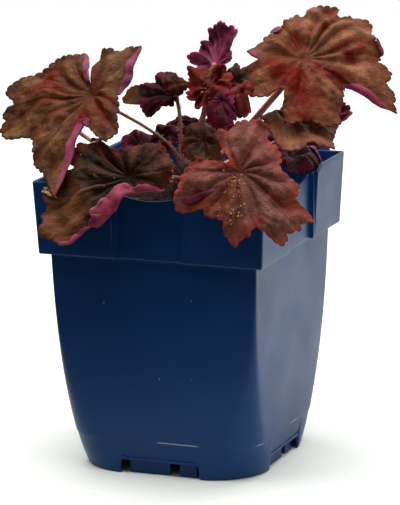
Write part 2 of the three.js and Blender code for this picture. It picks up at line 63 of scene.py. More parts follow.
class Nodes:
    """A tree of nodes. `add` makes one node, with its settings and its inputs, and gives back its
    output. An input is either a value or the output of another node."""

    def __init__(self, tree):
        self.tree = tree

    def add(self, kind, inputs=None, give=0, **settings):
        made = self.tree.nodes.new("ShaderNode" + kind)
        for key, value in settings.items():
            setattr(made, key, value)
        for key, value in (inputs or {}).items():
            self.join(made.inputs[key], value)
        return made.outputs[give]

    def join(self, socket, value):
        if isinstance(value, bpy.types.NodeSocket):
            self.tree.links.new(value, socket)
        else:
            socket.default_value = value


class Finish(Nodes):
    """A material. `blend` mixes two colours by a share and `over` lays one over another, `between`
    turns a value into a share with soft ends, and `mark` reads a number kept at the mesh's points."""

    def __init__(self, name, **sockets):
        self.material = bpy.data.materials.new(name)
        self.material.use_nodes = True
        super().__init__(self.material.node_tree)
        self.surface = self.tree.nodes["Principled BSDF"]
        self.place = self.add("TexCoord", give="Object")
        for socket, value in sockets.items():
            self.set(socket.replace("_", " "), value)

    def set(self, socket, value):
        self.join(self.surface.inputs[socket], value)

    def math(self, operation, a, b=0.0):
        return self.add("Math", {0: a, 1: b}, operation=operation)

    def blend(self, share, a, b):
        return self.add("Mix", {0: share, 6: a, 7: b}, give=2, data_type="RGBA")

    def over(self, colour, share, strength, top):
        return self.blend(self.math("MULTIPLY", share, strength), colour, paint(*top))

    def noise(self, scale, detail=2.0, stretch=None):
        place = self.place if stretch is None else self.add("Mapping", {0: self.place, 3: stretch})
        return self.add("TexNoise", {"Vector": place, "Scale": scale, "Detail": detail})

    def between(self, value, low, high):
        return self.add("MapRange", {0: value, 1: low, 2: high}, interpolation_type="SMOOTHSTEP")

    def mark(self, name):
        return self.add("Attribute", give="Fac", attribute_name=name)

    def bump(self, height, distance, strength=1.0):
        made = {"Height": height, "Distance": distance, "Strength": strength}
        self.set("Normal", self.add("Bump", made))


def put_in_scene(name, data):
    """A mesh, lamp or camera as an object of the scene."""
    made = bpy.data.objects.new(name, data)
    bpy.context.scene.collection.objects.link(made)
    return made


class Form:
    """Gathers the sheets of one piece, in millimetres, and makes them one mesh. A sheet is a grid of
    points whose columns close round; seen from outside, columns run to the right as rows run up.
    Marks are numbers kept at the points, nothing where a sheet doesn't give them."""

    def __init__(self):
        self.points, self.quads, self.triangles = [], [], []
        self.quad_finish, self.triangle_finish, self.marks = [], [], {}
        self.count = 0

    def take(self, points, marks):
        """Adds points with their marks, and gives back the first one's number."""
        first = self.count
        self.points.append(points.reshape(-1, 3))
        for name in sorted(set(self.marks) | set(marks)):
            rows = self.marks.setdefault(name, [np.zeros(first)])
            rows.append(np.broadcast_to(marks.get(name, 0.0), points.shape[:-1]).ravel())
        self.count += len(self.points[-1])
        return first

    def sheet(self, grid, finish=0, closed_rows=False, flip=False, **marks):
        """Four-cornered faces between neighbours of a grid; gives back where its two edges start."""
        first = self.take(grid, marks)
        rows, cols = grid.shape[:2]
        r = np.arange(rows if closed_rows else rows - 1)[:, None]
        c = np.arange(cols)[None, :]
        right, up = (c + 1) % cols, (r + 1) % rows
        quads = np.stack([r * cols + c, r * cols + right, up * cols + right, up * cols + c], -1)
        if flip:
            quads = quads[..., ::-1]
        self.quads.append(first + quads.reshape(-1, 4))
        share = np.broadcast_to(np.asarray(finish).reshape(-1, 1), (len(r), cols))
        self.quad_finish.append(share.ravel())
        return first, first + (rows - 1) * cols

    def cap(self, ring, cols, point, finish=0, flip=False, **marks):
        """Closes a sheet's edge with a fan of triangles round one point."""
        pole = self.take(np.asarray(point, float)[None], marks)
        c = np.arange(cols)
        fan = np.stack([np.full(cols, pole), ring + c, ring + (c + 1) % cols], -1)
        self.triangles.append(fan[:, ::-1] if flip else fan)
        self.triangle_finish.append(np.full(cols, finish))

    def tube(self, grid, finish=0, **marks):
        """A sheet that runs along a path, closed at both ends."""
        start, end = self.sheet(grid, finish, **marks)
        cols = grid.shape[1]
        self.cap(start, cols, grid[0].mean(0), finish, flip=True)
        self.cap(end, cols, grid[-1].mean(0), finish)

    def mesh(self, name, finishes, sharp=None):
        """All the sheets and caps as one mesh, smooth but for edges that turn by more than sharp."""
        mesh = bpy.data.meshes.new(name)
        points, quads, fans = (np.concatenate(rows) for rows in (self.points, self.quads, self.triangles))
        corners = np.concatenate([quads.ravel(), fans.ravel()])
        starts = np.concatenate([4 * np.arange(len(quads)), 4 * len(quads) + 3 * np.arange(len(fans))])
        mesh.vertices.add(len(points))
        mesh.vertices.foreach_set("co", (points * MM).ravel())
        mesh.loops.add(len(corners))
        mesh.loops.foreach_set("vertex_index", corners)
        mesh.polygons.add(len(starts))
        mesh.polygons.foreach_set("loop_start", starts)
        share = np.concatenate(self.quad_finish + self.triangle_finish)
        mesh.polygons.foreach_set("material_index", share.astype(np.int32))
        for mark, rows in self.marks.items():
            made = mesh.attributes.new(mark, "FLOAT", "POINT")
            made.data.foreach_set("value", np.concatenate(rows).astype(np.float32))
        mesh.update(calc_edges=True)
        mesh.shade_smooth()
        if sharp:
            mesh.set_sharp_from_angle(angle=np.radians(sharp))
        for finish in finishes:
            mesh.materials.append(finish.material)
        return mesh

    def make(self, name, finishes, nodes, sharp=None):
        """The finished piece, which rides on the plant's one body and stands for its nodes."""
        piece = put_in_scene(name, self.mesh(name, finishes, sharp))
        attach(piece, "root")
        if nodes:
            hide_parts(*nodes)


def turned(points, quarter):
    """The points turned about the pot's axis by quarter turns."""
    x, y, z = np.moveaxis(points, -1, 0)
    for _ in range(quarter):
        x, y = -y, x
    return np.stack([x, y, z], -1)


def bearing(degrees):
    """A step of one along each turn: its cosine and its sine."""
    turn = np.radians(degrees)
    return np.stack([np.cos(turn), np.sin(turn)], -1)


# Columns across half a side: fixed ones over the panel and notch, then ones that crowd to the corner.
fixed = np.array([0, 2, 4, 6, 8, 10, 12, 13.7, 15.1, 15.5, 16.4, 17.3, 17.7, 18.5, 19.5, 21, 22, 23, 24])
crowd = 1 - (1 - np.linspace(0, 1, 17)[1:]) ** 2.2


def pot_ring(half, radius, inset=0.0):
    """The pot's plan at one height: a square with round corners, its sides pushed in to the panel
    faces. Each side runs from corner to corner, its depth the flat's plus the corner's circle."""
    half, radius = half - inset, max(radius - inset, LEAST_CORNER)
    flat = half - radius
    end = flat + radius * np.sqrt(0.5)
    x = np.concatenate([fixed, fixed[-1] + (end - fixed[-1]) * crowd])
    y = flat + np.sqrt(radius**2 - np.clip(x - flat, 0, None) ** 2)
    for panel_half, face in zip(PANEL_HALVES, PANEL_FACES):
        y = np.where(x < panel_half, np.minimum(y, face - inset), y)
    x = np.concatenate([-x[:0:-1], x[:-1]])
    y = np.concatenate([y[:0:-1], y[:-1]])
    side = np.stack([x, -y, np.zeros_like(x)], -1)
    return np.concatenate([turned(side, k) for k in range(4)])


def body_size(z):
    """Half width and corner radius of the body at a height: the half width grows with the 0.6 power
    of the height, and the corner tightens with the 2.55 power of what is left."""
    t = np.clip(z / RIM_FOOT, 0, 1)
    return BODY_HALF + BODY_FLARE * t**0.6, CORNER + FOOT_CORNER_FLARE * (1 - t) ** 2.55


def rim_half(z):
    """Half width of the rim band at a height: it grows evenly from its foot to the pot's top."""
    return RIM_HALF + RIM_FLARE * (z - RIM_FOOT) / (POT_HEIGHT - RIM_FOOT)


def wall_rows():
    """Rows round the wall's section, up the outside and down the inside: [height, half, radius, inset]."""
    foot = [(0, 1.0), (0.2, 0.55), (0.9, 0.3), (6, 0.3), (11, 0.3), (LEDGE, 0.3), (16.1, 0.2), (16.3, 0.04)]
    body = foot + [(z, 0.0) for z in (16.8, 20, 24, 28, 34, 40, 47, 55, 64, 74, 84, 93, 99, 100.9)]
    band = [(RIM_FOOT, 0.75), (101.6, 0.3), (101.9, 0.08)]
    band += [(z, 0.0) for z in (102.4, 108, 114, SCOOP_FOOT, 123, 128, 132, 134.2)]
    band += [(134.75, 0.15), (POT_HEIGHT, 0.45), (POT_HEIGHT, 0.85), (134.75, 1.15)]
    band += [(z, WALL) for z in (134.2, 130, 124, SCOOP_FOOT, 110, 103.4)] + [(102.8, WALL + 0.5)]
    inside = [(102.8, WALL - 0.6)] + [(z, WALL) for z in (102.3, 96, 80, 60, 40, 24)]
    inside += [(z, WALL + 0.3) for z in (16, 8, 0.9)] + [(0.2, WALL + 0.1), (0, WALL - 0.1)]
    rows = [(z, *body_size(z), inset) for z, inset in body]
    rows += [(z, *body_size(RIM_FOOT), inset) for z, inset in ((101.35, -0.15), (RIM_FOOT, -0.6))]
    rows += [(z, rim_half(z), CORNER, inset) for z, inset in band]
    return rows + [(z, *body_size(z), inset) for z, inset in inside]


def wall_height(z, across):
    """Lowers the rows near the top into the scoop and lifts those near the foot over the notch."""
    across = np.abs(across)
    scoop = SCOOP_DEPTH * np.clip(1 - (across / SCOOP_HALF) ** 2, 0, None)
    notch = NOTCH_HEIGHT * np.clip((NOTCH_HALF_FOOT - across) / (NOTCH_HALF_FOOT - NOTCH_HALF_TOP), 0, 1)
    scoop = scoop * np.clip((z - SCOOP_FOOT) / (POT_HEIGHT - SCOOP_FOOT), 0, 1)
    return z - scoop + notch * np.clip(1 - z / LEDGE, 0, 1)


pot = Form()
rows = wall_rows()
wall = np.stack([pot_ring(half, radius, inset) for _, half, radius, inset in rows])
across = np.concatenate([fixed, fixed[-1] + 10 * crowd])
across = np.tile(np.concatenate([-across[:0:-1], across[:-1]]), 4)
wall[..., 2] = wall_height(np.array([row[0] for row in rows])[:, None], across[None, :])
pot.sheet(wall, closed_rows=True)

# The raised floor in four quarters, each a plate round its own drain hole. Its section is told as
# (share of the way from the hole to the wall, height over the floor's level).
floor_half, floor_radius = (size - FLOOR_INSET for size in body_size(FLOOR_LEVEL))
ray = bearing(45 + 7.5 * np.arange(48))
with np.errstate(divide="ignore"):
    hits = np.where(ray < 0, -DRAIN_SPACING / ray, (floor_half - DRAIN_SPACING) / ray)
far = DRAIN_SPACING + ray * hits.min(-1)[:, None]
corner = floor_half - floor_radius
over = np.clip(far - corner, 0, None)
reach = np.hypot(*over.T)
in_corner = (over.min(-1) > 0) & (reach > floor_radius)
far = np.where(in_corner[:, None], corner + over * floor_radius / np.maximum(reach, 1e-9)[:, None], far)
near = DRAIN_SPACING + ray * DRAIN_RADIUS
section = [(0.0, -0.1), (0.0, 0.6), (0.03, 0.9), (1.0, 0.9), (1.0, -0.4), (0.03, -0.4)]
plate = np.stack([np.column_stack([near + (far - near) * t, np.full(len(near), FLOOR_LEVEL + z)])
                  for t, z in section])
for quarter in range(4):
    pot.sheet(turned(plate, quarter), closed_rows=True, flip=True)

# The short drainage panels set back behind the notches, with their corners taken off.
front, back, soft = -FOOT_PANEL_FACE, WALL - FOOT_PANEL_FACE, 0.25
for quarter in range(4):
    for left, right in FOOT_PANELS:
        plan = [(left + soft, front), (right - soft, front), (right, front + soft), (right, back - soft),
                (right - soft, back), (left + soft, back), (left, back - soft), (left, front + soft)]
        rings = [[(x, y, z) for x, y in plan] for z in (0.0, 3.5, FOOT_PANEL_HEIGHT)]
        pot.tube(turned(np.array(rings, float), quarter))

# Dark blue with a faint cloud in it, rubbed pale along the ledge and specked with dust.
plastic = Finish("pot_plastic", IOR=1.26)
cloud = plastic.noise(14.0, 3.0)
moulded = plastic.blend(plastic.between(cloud, 0.35, 0.65), paint(5, 46, 91), paint(9, 52, 100))
height = plastic.add("SeparateXYZ", {0: plastic.place}, give="Z")
off_ledge = plastic.math("ABSOLUTE", plastic.math("SUBTRACT", height, (LEDGE + 0.35) * MM))
scuffs = plastic.between(plastic.noise(55.0, 4.0), 0.52, 0.6)
rubbed = plastic.math("MULTIPLY", plastic.between(off_ledge, 0.4 * MM, 0.1 * MM), scuffs)
specks = plastic.add("TexVoronoi", {"Vector": plastic.place, "Scale": 95.0}, give="Distance")
moulded = plastic.over(moulded, rubbed, 0.8, (170, 175, 190))
moulded = plastic.over(moulded, plastic.between(specks, 0.045, 0.03), 0.5, (150, 165, 185))
plastic.set("Base Color", moulded)
handled = plastic.noise(38.0, 5.0)
plastic.set("Roughness", plastic.add("MapRange", {0: handled, 1: 0.3, 2: 0.7, 3: 0.3, 4: 0.42}))
plastic.bump(plastic.noise(900.0, 2.0), 0.00002, 0.5)
pot.make("square_pot", [plastic], ["pot"], sharp=38)

# ---------- Soil ----------
# Peaty potting compost pressed round the roots, crumbly and a little mounded, with a few pale
# grains of perlite. Its dark brown is partly the peat's own and partly painted shade of the pot's
# inside. It fills the pot to 15 mm under the rim and holds the crown in a socket.
SOIL_FOOT, SOIL_LEVEL, SOIL_MOUND, SOIL_REACH, SOIL_RELIEF = 8.3, 120.0, 1.5, 75.0, 1.1
SOIL_INSET, EDGE_DROP = WALL + 0.3, 2.0
SOCKET_RADIUS, SOCKET_FOOT = 9.2, 105.7


def waves(points, seed, lengths, heights):
    """A smooth unevenness: at each length, eight plane waves that run in drawn directions, added up."""
    draw = np.random.default_rng(seed)
    total = np.zeros(points.shape[:-1])
    for length, height in zip(lengths, heights):
        way = draw.normal(size=(8, points.shape[-1]))
        way *= 2 * np.pi / length / np.linalg.norm(way, axis=-1, keepdims=True)
        total += height * np.sin(points @ way.T + draw.uniform(0, 2 * np.pi, 8)).sum(-1) / 3
    return total


soil = Form()
sides = (SOIL_FOOT, 16, 24, 40, 60, 80, 96, 101.9)
rings = [pot_ring(*body_size(z), SOIL_INSET) + [0, 0, z] for z in sides]
edge = pot_ring(rim_half(SCOOP_FOOT) - 0.4, CORNER, SOIL_INSET)
rings += [edge + [0, 0, z] for z in (103.2, 110.0, 116.0)]
mouth = edge / np.linalg.norm(edge, axis=-1, keepdims=True) * SOCKET_RADIUS
for share in np.linspace(0, 1, 60):
    ring = edge + (mouth - edge) * share
    away = np.hypot(ring[:, 0], ring[:, 1])
    crumbs = waves(ring, 11, (17, 7, 3.1), (0.5, 0.45, 0.35))
    ring[:, 2] = SOIL_LEVEL + SOIL_MOUND * np.cos(np.pi * away / SOIL_REACH) + SOIL_RELIEF * crumbs
    ring[:, 2] -= EDGE_DROP * (share == 0)
    rings.append(ring)
for radius, z in ((8.7, 118.0), (7.2, 111.0), (6.4, SOCKET_FOOT)):
    rings.append(mouth / SOCKET_RADIUS * radius + [0, 0, z])
start, end = soil.sheet(np.stack(rings))
soil.cap(start, len(edge), (0, 0, SOIL_FOOT), flip=True)
soil.cap(end, len(edge), (0, 0, SOCKET_FOOT))
compost = Finish("compost", Roughness=0.95, Specular_IOR_Level=0.1)
grain = compost.noise(420.0, 4.0)
# Painted shade: the peat is darker than its own brown, standing in for the shade inside the pot.
peat_and_painted_shade = compost.blend(compost.between(grain, 0.35, 0.65), paint(20, 13, 9), paint(50, 36, 26))
cells = compost.add("TexVoronoi", {"Vector": compost.place, "Scale": 260.0}, give="Color")
perlite = compost.between(compost.add("SeparateColor", {0: cells}), 0.93, 0.95)
compost.set("Base Color", compost.blend(perlite, peat_and_painted_shade, paint(140, 132, 116)))
compost.bump(grain, 0.0012)
soil.make("potting_soil", [compost], ["soil"])

# ---------- Crown ----------
# The short woody stem that the leaves grow from, ringed with the scars and dry husks of old stalks,
# which wind up it in a spiral. It stands in the soil's socket, and every stalk is seated in it.
CROWN_FOOT, CROWN_TOP = 106.0, 138.0
CROWN_GIRTH = ((CROWN_FOOT, 5.5), (118.0, 7.0), (126.0, 8.4), (133.0, 8.2), (CROWN_TOP, 6.2))
SCAR_DEPTH = 0.35


def once_round(count):
    """Evenly spread turns, once round."""
    return np.linspace(0, 2 * np.pi, count, endpoint=False)


crown = Form()
z = np.concatenate([np.linspace(CROWN_FOOT, CROWN_TOP - 1, 64), [CROWN_TOP - 0.4, CROWN_TOP]])
girth = np.interp(z, *np.array(CROWN_GIRTH).T) - np.concatenate([np.zeros(63), [0.2, 0.9, 2.4]])
angle = once_round(72)[None, :]
spiral = angle * 3 + z[:, None] * 1.1
radius = girth[:, None] * (1 + 0.05 * np.cos(3 * angle + z[:, None] / 6))
radius += SCAR_DEPTH * np.abs(np.sin(spiral)) ** 3 - SCAR_DEPTH
stem = np.stack([radius * np.cos(angle), radius * np.sin(angle), z[:, None] + 0 * angle], -1)
stem[..., :2] *= 1 + 0.02 * waves(stem, 5, (4, 1.8), (1, 0.8))[..., None]
crown.tube(stem)
bark = Finish("crown_bark", Roughness=0.85)
fibres = bark.noise(160.0, 4.0, (1.0, 1.0, 0.3))
bark.set("Base Color", bark.blend(bark.between(fibres, 0.35, 0.65), paint(34, 18, 14), paint(74, 46, 34)))
bark.bump(fibres, 0.0008)
crown.make("woody_crown", [bark], ["crown"])

# ---------- Large leaves ----------
# Four broad leaves lean out over the rim. Each is one grown piece, a blade and its stalk: thin,
# lobed and toothed, crinkled between sunken veins, bronze above and magenta below, with margins
# that turn up in places and show the underside. The stalks are seated in the crown.
TOOTH_PITCH, TOOTH_CUT, DEEPEST_CUT = 3.8, 1.1, 0.14
BLADE_THICKNESS, STALK_SEAT = 0.55, 4.6
POINTS_PER_TOOTH = 6
UPPER, UNDER, STALK = 0, 1, 2
NEARNESS, LEAF_SCALE = 12, 0.13
VEIN_DEPTH, VEIN_WIDTH, VEIN_WANDER = 0.6, 0.35, 0.09
BRANCH_DEPTH, BRANCH_WIDTH, BRANCH_SLANT, SLANT_COSINE = 0.16, 0.34, 1.1, 0.68
PILLOW_HEIGHT = 0.34
CRINKLE_LENGTHS, CRINKLE_HEIGHTS = (24, 12, 6.5, 3.6), (1.6, 0.9, 0.42, 0.16)
CREASE_START, EDGE_WIDTH, BORDER_WIDTH = 0.25, 0.6, 4.5
CURL_WAVES, CURL_WAVE_HEIGHT, CURL_SMOOTHING = 7, 0.09, 10


def unit(vectors):
    """The vectors at a length of one."""
    return vectors / np.maximum(np.linalg.norm(vectors, axis=-1, keepdims=True), 1e-9)


def hill(away, width):
    """One at nothing, falling off both ways as a bell of that width."""
    return np.exp(-((away / width) ** 2))


def round_trip(values, s):
    """A smooth closed curve through values, at whole numbers s: a cubic through four neighbours."""
    i = np.floor(s).astype(int)
    f = s - i
    weights = (-f + 2 * f**2 - f**3, 2 - 5 * f**2 + 3 * f**3, f + 4 * f**2 - 3 * f**3, f**3 - f**2)
    total = 0
    for step, weight in zip((-1, 0, 1, 2), weights):
        total = total + values[(i + step) % len(values)] * (weight / 2)[..., None]
    return total


def arch(turns):
    """Nothing at whole numbers and one midway, with round tops and pointed gaps."""
    return 1 - np.sqrt(np.abs(np.cos(np.pi * turns)))


class Leaf:
    """One leaf. Its blade is a height over a sloping plane, cut to an outline. The outline's points
    are (turn from the downhill line, reach from the hub), in order round the hub. The stalk is
    (heading, height of its seat, rise over the seat, length that leads into the hub, radius). Veins
    are the turns of the main veins; fall is how far the blade drops for each millimetre out, all
    round and more towards a given turn; notch is the depth of the gaps between points that are
    lobes; creases are (turn, depth, half width) of sharp valleys from hub to margin, or ridges for
    a depth under nothing; tint spots are (turn, way out, spread, strength), partly the leaf's own
    flush and partly painted light and shade."""

    def __init__(self, name, finish, hub, heading, slope, outline, stalk, veins, notch=0.0, bow=2.5,
                 fall=(0.0, 0.0, 0.0), pleat=1.6, wave=0.6, ruffle=0.6, curls=(), creases=(), blush=(),
                 slot=None):
        self.name, self.finish, self.slot, self.seed = name, finish, slot or "leaf_" + finish, 0
        self.stalk, self.notch, self.bow, self.fall, self.pleat = stalk, notch, bow, fall, pleat
        self.wave, self.ruffle = wave, ruffle
        self.curls, self.creases, self.blush = curls, creases, blush
        ahead = np.append(bearing(heading), 0)
        level, steep = bearing(slope)
        self.normal = ahead * steep + [0, 0, level]
        down = ahead * level - [0, 0, steep]
        self.plane = np.array([down, np.cross(self.normal, down)])
        self.hub = np.array(hub, float)
        turns, self.reaches = np.array(outline, float).T
        self.turns = np.radians(turns)
        self.corners = bearing(turns) * self.reaches[:, None]
        self.veins = np.sort(np.radians(veins) % (2 * np.pi))
        self.steps = np.linspace(0, len(outline), 24 * len(outline) + 1)
        curve = round_trip(self.corners, self.steps)
        lengths = np.linalg.norm(np.diff(curve, axis=0), axis=1)
        self.lengths = np.append(0.0, np.cumsum(lengths))
        self.teeth = max(int(round(self.lengths[-1] / TOOTH_PITCH)), 5)

    def margin(self, tooth):
        """The margin, told by its teeth: the curve through the outline's points, drawn in between
        lobes by the notch and between teeth by the tooth's cut."""
        s = np.interp(tooth / self.teeth * self.lengths[-1], self.lengths, self.steps)
        point = round_trip(self.corners, s)
        cut = np.minimum(TOOTH_CUT / np.linalg.norm(point, axis=-1), DEEPEST_CUT) * arch(tooth)
        return point * ((1 - self.notch * arch(s)) * (1 - cut))[..., None]

    def relief(self, place):
        """The height off the plane and the marks that the colours follow, at (down, across) places.
        A bow midway out, less the fall, with a pleat between each two main veins, grooves along the
        veins, which wander a little, and their branches, pillows between branches, a soft crinkle,
        a wavy margin and the creases. All but the fall fade out towards the hub."""
        reach, turn = np.linalg.norm(place, axis=-1), np.arctan2(place[..., 1], place[..., 0])
        near = np.exp(NEARNESS * (np.cos(turn[..., None] - self.turns) - 1))
        out = reach / ((near * self.reaches).sum(-1) / near.sum(-1))  # share of the way to the margin
        off_hub = np.clip(2.5 * out, 0, 1)
        swell = np.clip(4 * out * (1 - out), 0, 1)
        all_round, extra, toward = self.fall
        drop = all_round + extra * np.clip(np.cos(turn - np.radians(toward)), 0, 1)
        rise = self.bow * swell - reach * drop

        # Which fold between two veins each place is in, how far across it, and each fold's own draws.
        starts = self.veins - self.veins[0]
        wide = np.diff(starts, append=2 * np.pi)
        bent = turn + VEIN_WANDER * np.clip(2 * out, 0, 1) * np.sin(reach / 7 + 2 * turn + self.seed)
        around = (bent - self.veins[0]) % (2 * np.pi)
        fold = np.clip(np.searchsorted(starts, around, side="right") - 1, 0, len(starts) - 1)
        across = (around - starts[fold]) / wide[fold]
        draw = np.random.default_rng(self.seed)
        skew = draw.uniform(0.75, 1.3, len(starts))
        height = self.pleat * draw.uniform(0.3, 1.5, len(starts)) * np.clip(1.8 - wide, 0, 1)
        tint_and_shading = draw.uniform(-0.2, 0.8, len(starts)).clip(0)
        power = draw.uniform(0.1, 1.0, len(starts))
        rise += height[fold] * np.sin(np.pi * across ** skew[fold]) ** 2 * swell * off_hub

        # Grooves along the nearest vein, and branches that leave it at a slant, evenly spaced.
        apart = np.where(across < 0.5, across, across - 1) * wide[fold]
        along, aside = reach * np.cos(apart), np.abs(reach * np.sin(apart))
        strong = power[(fold + (across >= 0.5)) % len(starts)]
        main = strong * hill(aside, VEIN_WIDTH + 0.5 * np.clip(1 - out, 0, 1))
        scale = LEAF_SCALE * self.reaches.mean()
        space = scale + 1.2
        uneven = np.clip(0.5 + 0.45 * waves(place, self.seed + 50, (17,), (1.0,)), 0.05, 1.2)
        step = (along - BRANCH_SLANT * aside) / space + np.where(apart > 0, 0.5, 0.0)
        off = np.abs(step - np.round(step)) * space * SLANT_COSINE
        branch = hill(off, BRANCH_WIDTH) * (1 - hill(aside, 0.7))
        branch = branch * np.clip(1.25 - out, 0, 1) * np.clip(out * 6 - 0.6, 0, 1)
        pillow = np.sin(np.pi * step) ** 2 * (1 - hill(aside, 2.2))
        rise -= VEIN_DEPTH * main * np.clip(1.1 - 0.8 * out, 0.2, 1) * off_hub
        rise -= BRANCH_DEPTH * branch * uneven
        rise += PILLOW_HEIGHT * pillow * uneven * np.clip(4 * out, 0, 1)
        rise += self.wave * waves(place, self.seed, CRINKLE_LENGTHS, CRINKLE_HEIGHTS) * off_hub
        rise += self.ruffle * np.clip(out, 0, 1.2) ** 3 * np.sin(9 * turn + 2.3 * self.seed)
        for at, depth, half in self.creases:
            away = turn - np.radians(at)
            strength = np.clip(3 * np.cos(away) * out - CREASE_START, 0, 1)
            rise -= depth * np.exp(-np.abs(reach * np.sin(away)) / half) * strength

        # Some folds get painted shade on one side; the veins' mark is strongest at the hub, where it is
        # painted shade.
        painted_shade_side = hill(across - 0.15, 0.15) * hill(out - 0.45, 0.4)
        blush = tint_and_shading[fold] * painted_shade_side * np.clip(6 * across, 0, 1)
        for at, way, spread, strength in self.blush:
            blush += strength * hill(np.linalg.norm(place - bearing(at) * way, axis=-1), spread)
        heart = hill(reach, scale + 1)
        lines = np.maximum(main * np.clip(1.2 - out, 0.15, 1), 0.3 * branch * uneven)
        # The ridge mark places the painted highlight on the ridges, away from the veins.
        marks = {"vein": np.maximum(lines, heart), "blush": np.clip(blush, 0, 1),
                 "ridge": (1 - hill(aside, 4.0)) * np.clip(2 * out, 0, 1)}
        return rise, marks

    def skin(self, place):
        """Points of the blade's middle, its normals by the slope of the relief, and the marks."""
        rise, marks = self.relief(place)
        small = 0.05
        slopes = [(rise - self.relief(place + small * way)[0]) / small for way in np.eye(2)]
        tilt = np.stack(slopes + [np.ones_like(rise)], -1)
        points = self.hub + place @ self.plane + rise[..., None] * self.normal
        return points, unit(tilt @ np.vstack([self.plane, self.normal])), marks

    def blade(self, form, rows):
        """Both faces and the round edge as one closed grid, from the hub's upper side over the
        margin to its lower side, each half a blade's thickness off the middle along its normal."""
        margin = self.margin(np.arange(self.teeth * POINTS_PER_TOOTH) / POINTS_PER_TOOTH)
        rho = np.linspace(0, 1, rows + 1)[1:, None, None] ** 0.85
        middle, normal, marks = self.skin(rho * margin)
        gap = np.array([np.linalg.norm(row[:, None] - margin, axis=-1).min(1) for row in rho * margin])
        marks["edge"], marks["border"] = hill(gap, EDGE_WIDTH), hill(gap, BORDER_WIDTH)
        half = normal * BLADE_THICKNESS / 2
        rim = middle[-1:] + unit(middle[-1:] - middle[-2:-1]) * BLADE_THICKNESS * 0.4
        grid = np.concatenate([middle + half, rim, (middle - half)[::-1]])
        marks = {key: np.concatenate([v, v[-1:], v[::-1]]) for key, v in marks.items()}
        start, end = form.sheet(grid, [UPPER] * rows + [UNDER] * rows, flip=True, **marks)
        hub, up, _ = self.skin(np.zeros((1, 2)))
        # Both caps take the full vein mark, which darkens the upper face at the hub as painted shade.
        form.cap(start, len(margin), (hub + up * BLADE_THICKNESS / 2)[0], UPPER, vein=1.0)
        form.cap(end, len(margin), (hub - up * BLADE_THICKNESS / 2)[0], UNDER, flip=True, vein=1.0)

    def path(self, t):
        """The stalk's line, the two ways across it and its radius, at shares t of its length: a cubic
        curve from its seat in the crown, up and over to the hub's underside, thicker at both ends."""
        heading, height, rise, handle, girth = self.stalk
        out = np.append(bearing(heading), 0)
        seat = out * STALK_SEAT + [0, 0, height]
        lean = seat + out * rise * np.clip((CROWN_TOP - height) / 10, 0.1, 0.9) + [0, 0, rise]
        end = self.hub + self.normal * min(0.4 * self.bow, 0)
        grip = end - self.normal * handle
        t = t[:, None]
        weights = ((1 - t) ** 3, 3 * t * (1 - t) ** 2, 3 * t**2 * (1 - t), t**3)
        path = sum(w * p for w, p in zip(weights, (seat, lean, grip, end)))
        ahead = unit(np.gradient(path, axis=0))
        beside = unit(np.cross(ahead, np.cross(self.hub - seat, [0.31, 0.17, 0.93])))
        return path, beside, np.cross(ahead, beside), girth * (0.92 + 0.3 * (2 * t - 1) ** 6)

    def stem(self, form, around=12, steps=44):
        """The stalk: a round section carried along its path."""
        path, beside, above, thick = self.path(np.linspace(0, 1, steps))
        angle = once_round(around)[None, :, None]
        across = np.cos(angle) * beside[:, None] + np.sin(angle) * above[:, None]
        form.tube(path[:, None] + thick[..., None] * across, STALK)

    def curl(self, form, start, end, width, lean=1.0, roll=0.5, tilt=8, sections=96, out=(1.0, 1.0)):
        """A margin that has turned up, between two turns: at each place along it a section that goes
        half way round a small circle and then lies back over the blade, following its relief and
        rising a little to its free edge. Nothing at the ends and widest midway, or nearer to the
        start for a lean under one. A share of the way out under one puts a fold on the blade. The
        small relief is evened out along it, each section towards its two neighbours."""
        t = np.linspace(0, 1, sections)
        first, last = np.interp(np.radians([start, end]), self.turns, np.arange(len(self.turns)))
        s = first + (last - first) * t
        drawn_in = (1 - self.notch * arch(s)) * np.linspace(*out, sections)
        line = round_trip(self.corners, s) * drawn_in[:, None]
        ahead = unit(np.gradient(line, axis=0))
        inward = np.stack([-ahead[:, 1], ahead[:, 0]], -1)[:, None]
        share = (np.sin(np.pi * t**lean).clip(0) ** 0.55 + 0.02)[:, None, None]
        uneven = 1 + CURL_WAVE_HEIGHT * np.sin(2 * np.pi * (CURL_WAVES * t + 0.4))[:, None, None]
        turn = np.radians(np.linspace(-90, 90, 9))[None, :, None]
        lay = np.linspace(0, 1, 10)[None, 1:, None]
        radius, wide = roll * share**0.5, width * share * uneven
        way = np.concatenate([-radius * np.cos(turn), wide * lay], 1)
        over_blade = 2 * radius + wide * lay * np.sin(np.radians(tilt))
        lift = np.concatenate([radius * (1 + np.sin(turn)), over_blade], 1)
        base, up, _ = self.skin(line[:, None] + inward * way)
        middle = base + up * lift
        for _ in range(CURL_SMOOTHING):
            middle[1:-1] = (middle[:-2] + 2 * middle[1:-1] + middle[2:]) / 4
        face = np.gradient(middle, axis=1)
        forward = unit(np.gradient(middle, axis=0))
        skin = unit(np.cross(face, forward)) * BLADE_THICKNESS * 0.4 * share**0.5
        section = np.concatenate([middle + skin, (middle - skin)[:, ::-1]], 1)
        edge = hill(1 - np.concatenate([np.zeros(9), lay[0, :, 0]]), 0.3)
        form.tube(section, UNDER, edge=np.tile(np.concatenate([edge, edge[::-1]]), (sections, 1)))

    def grow(self, finishes, seed, rows):
        """The whole leaf: blade, stalk and curls in one piece, its unevenness drawn from the seed."""
        self.seed = seed
        form = Form()
        self.blade(form, rows)
        self.stem(form)
        for curl in self.curls:
            self.curl(form, *curl)
        form.make(self.name.replace("leaf_", "") + "_leaf", finishes, [self.name])


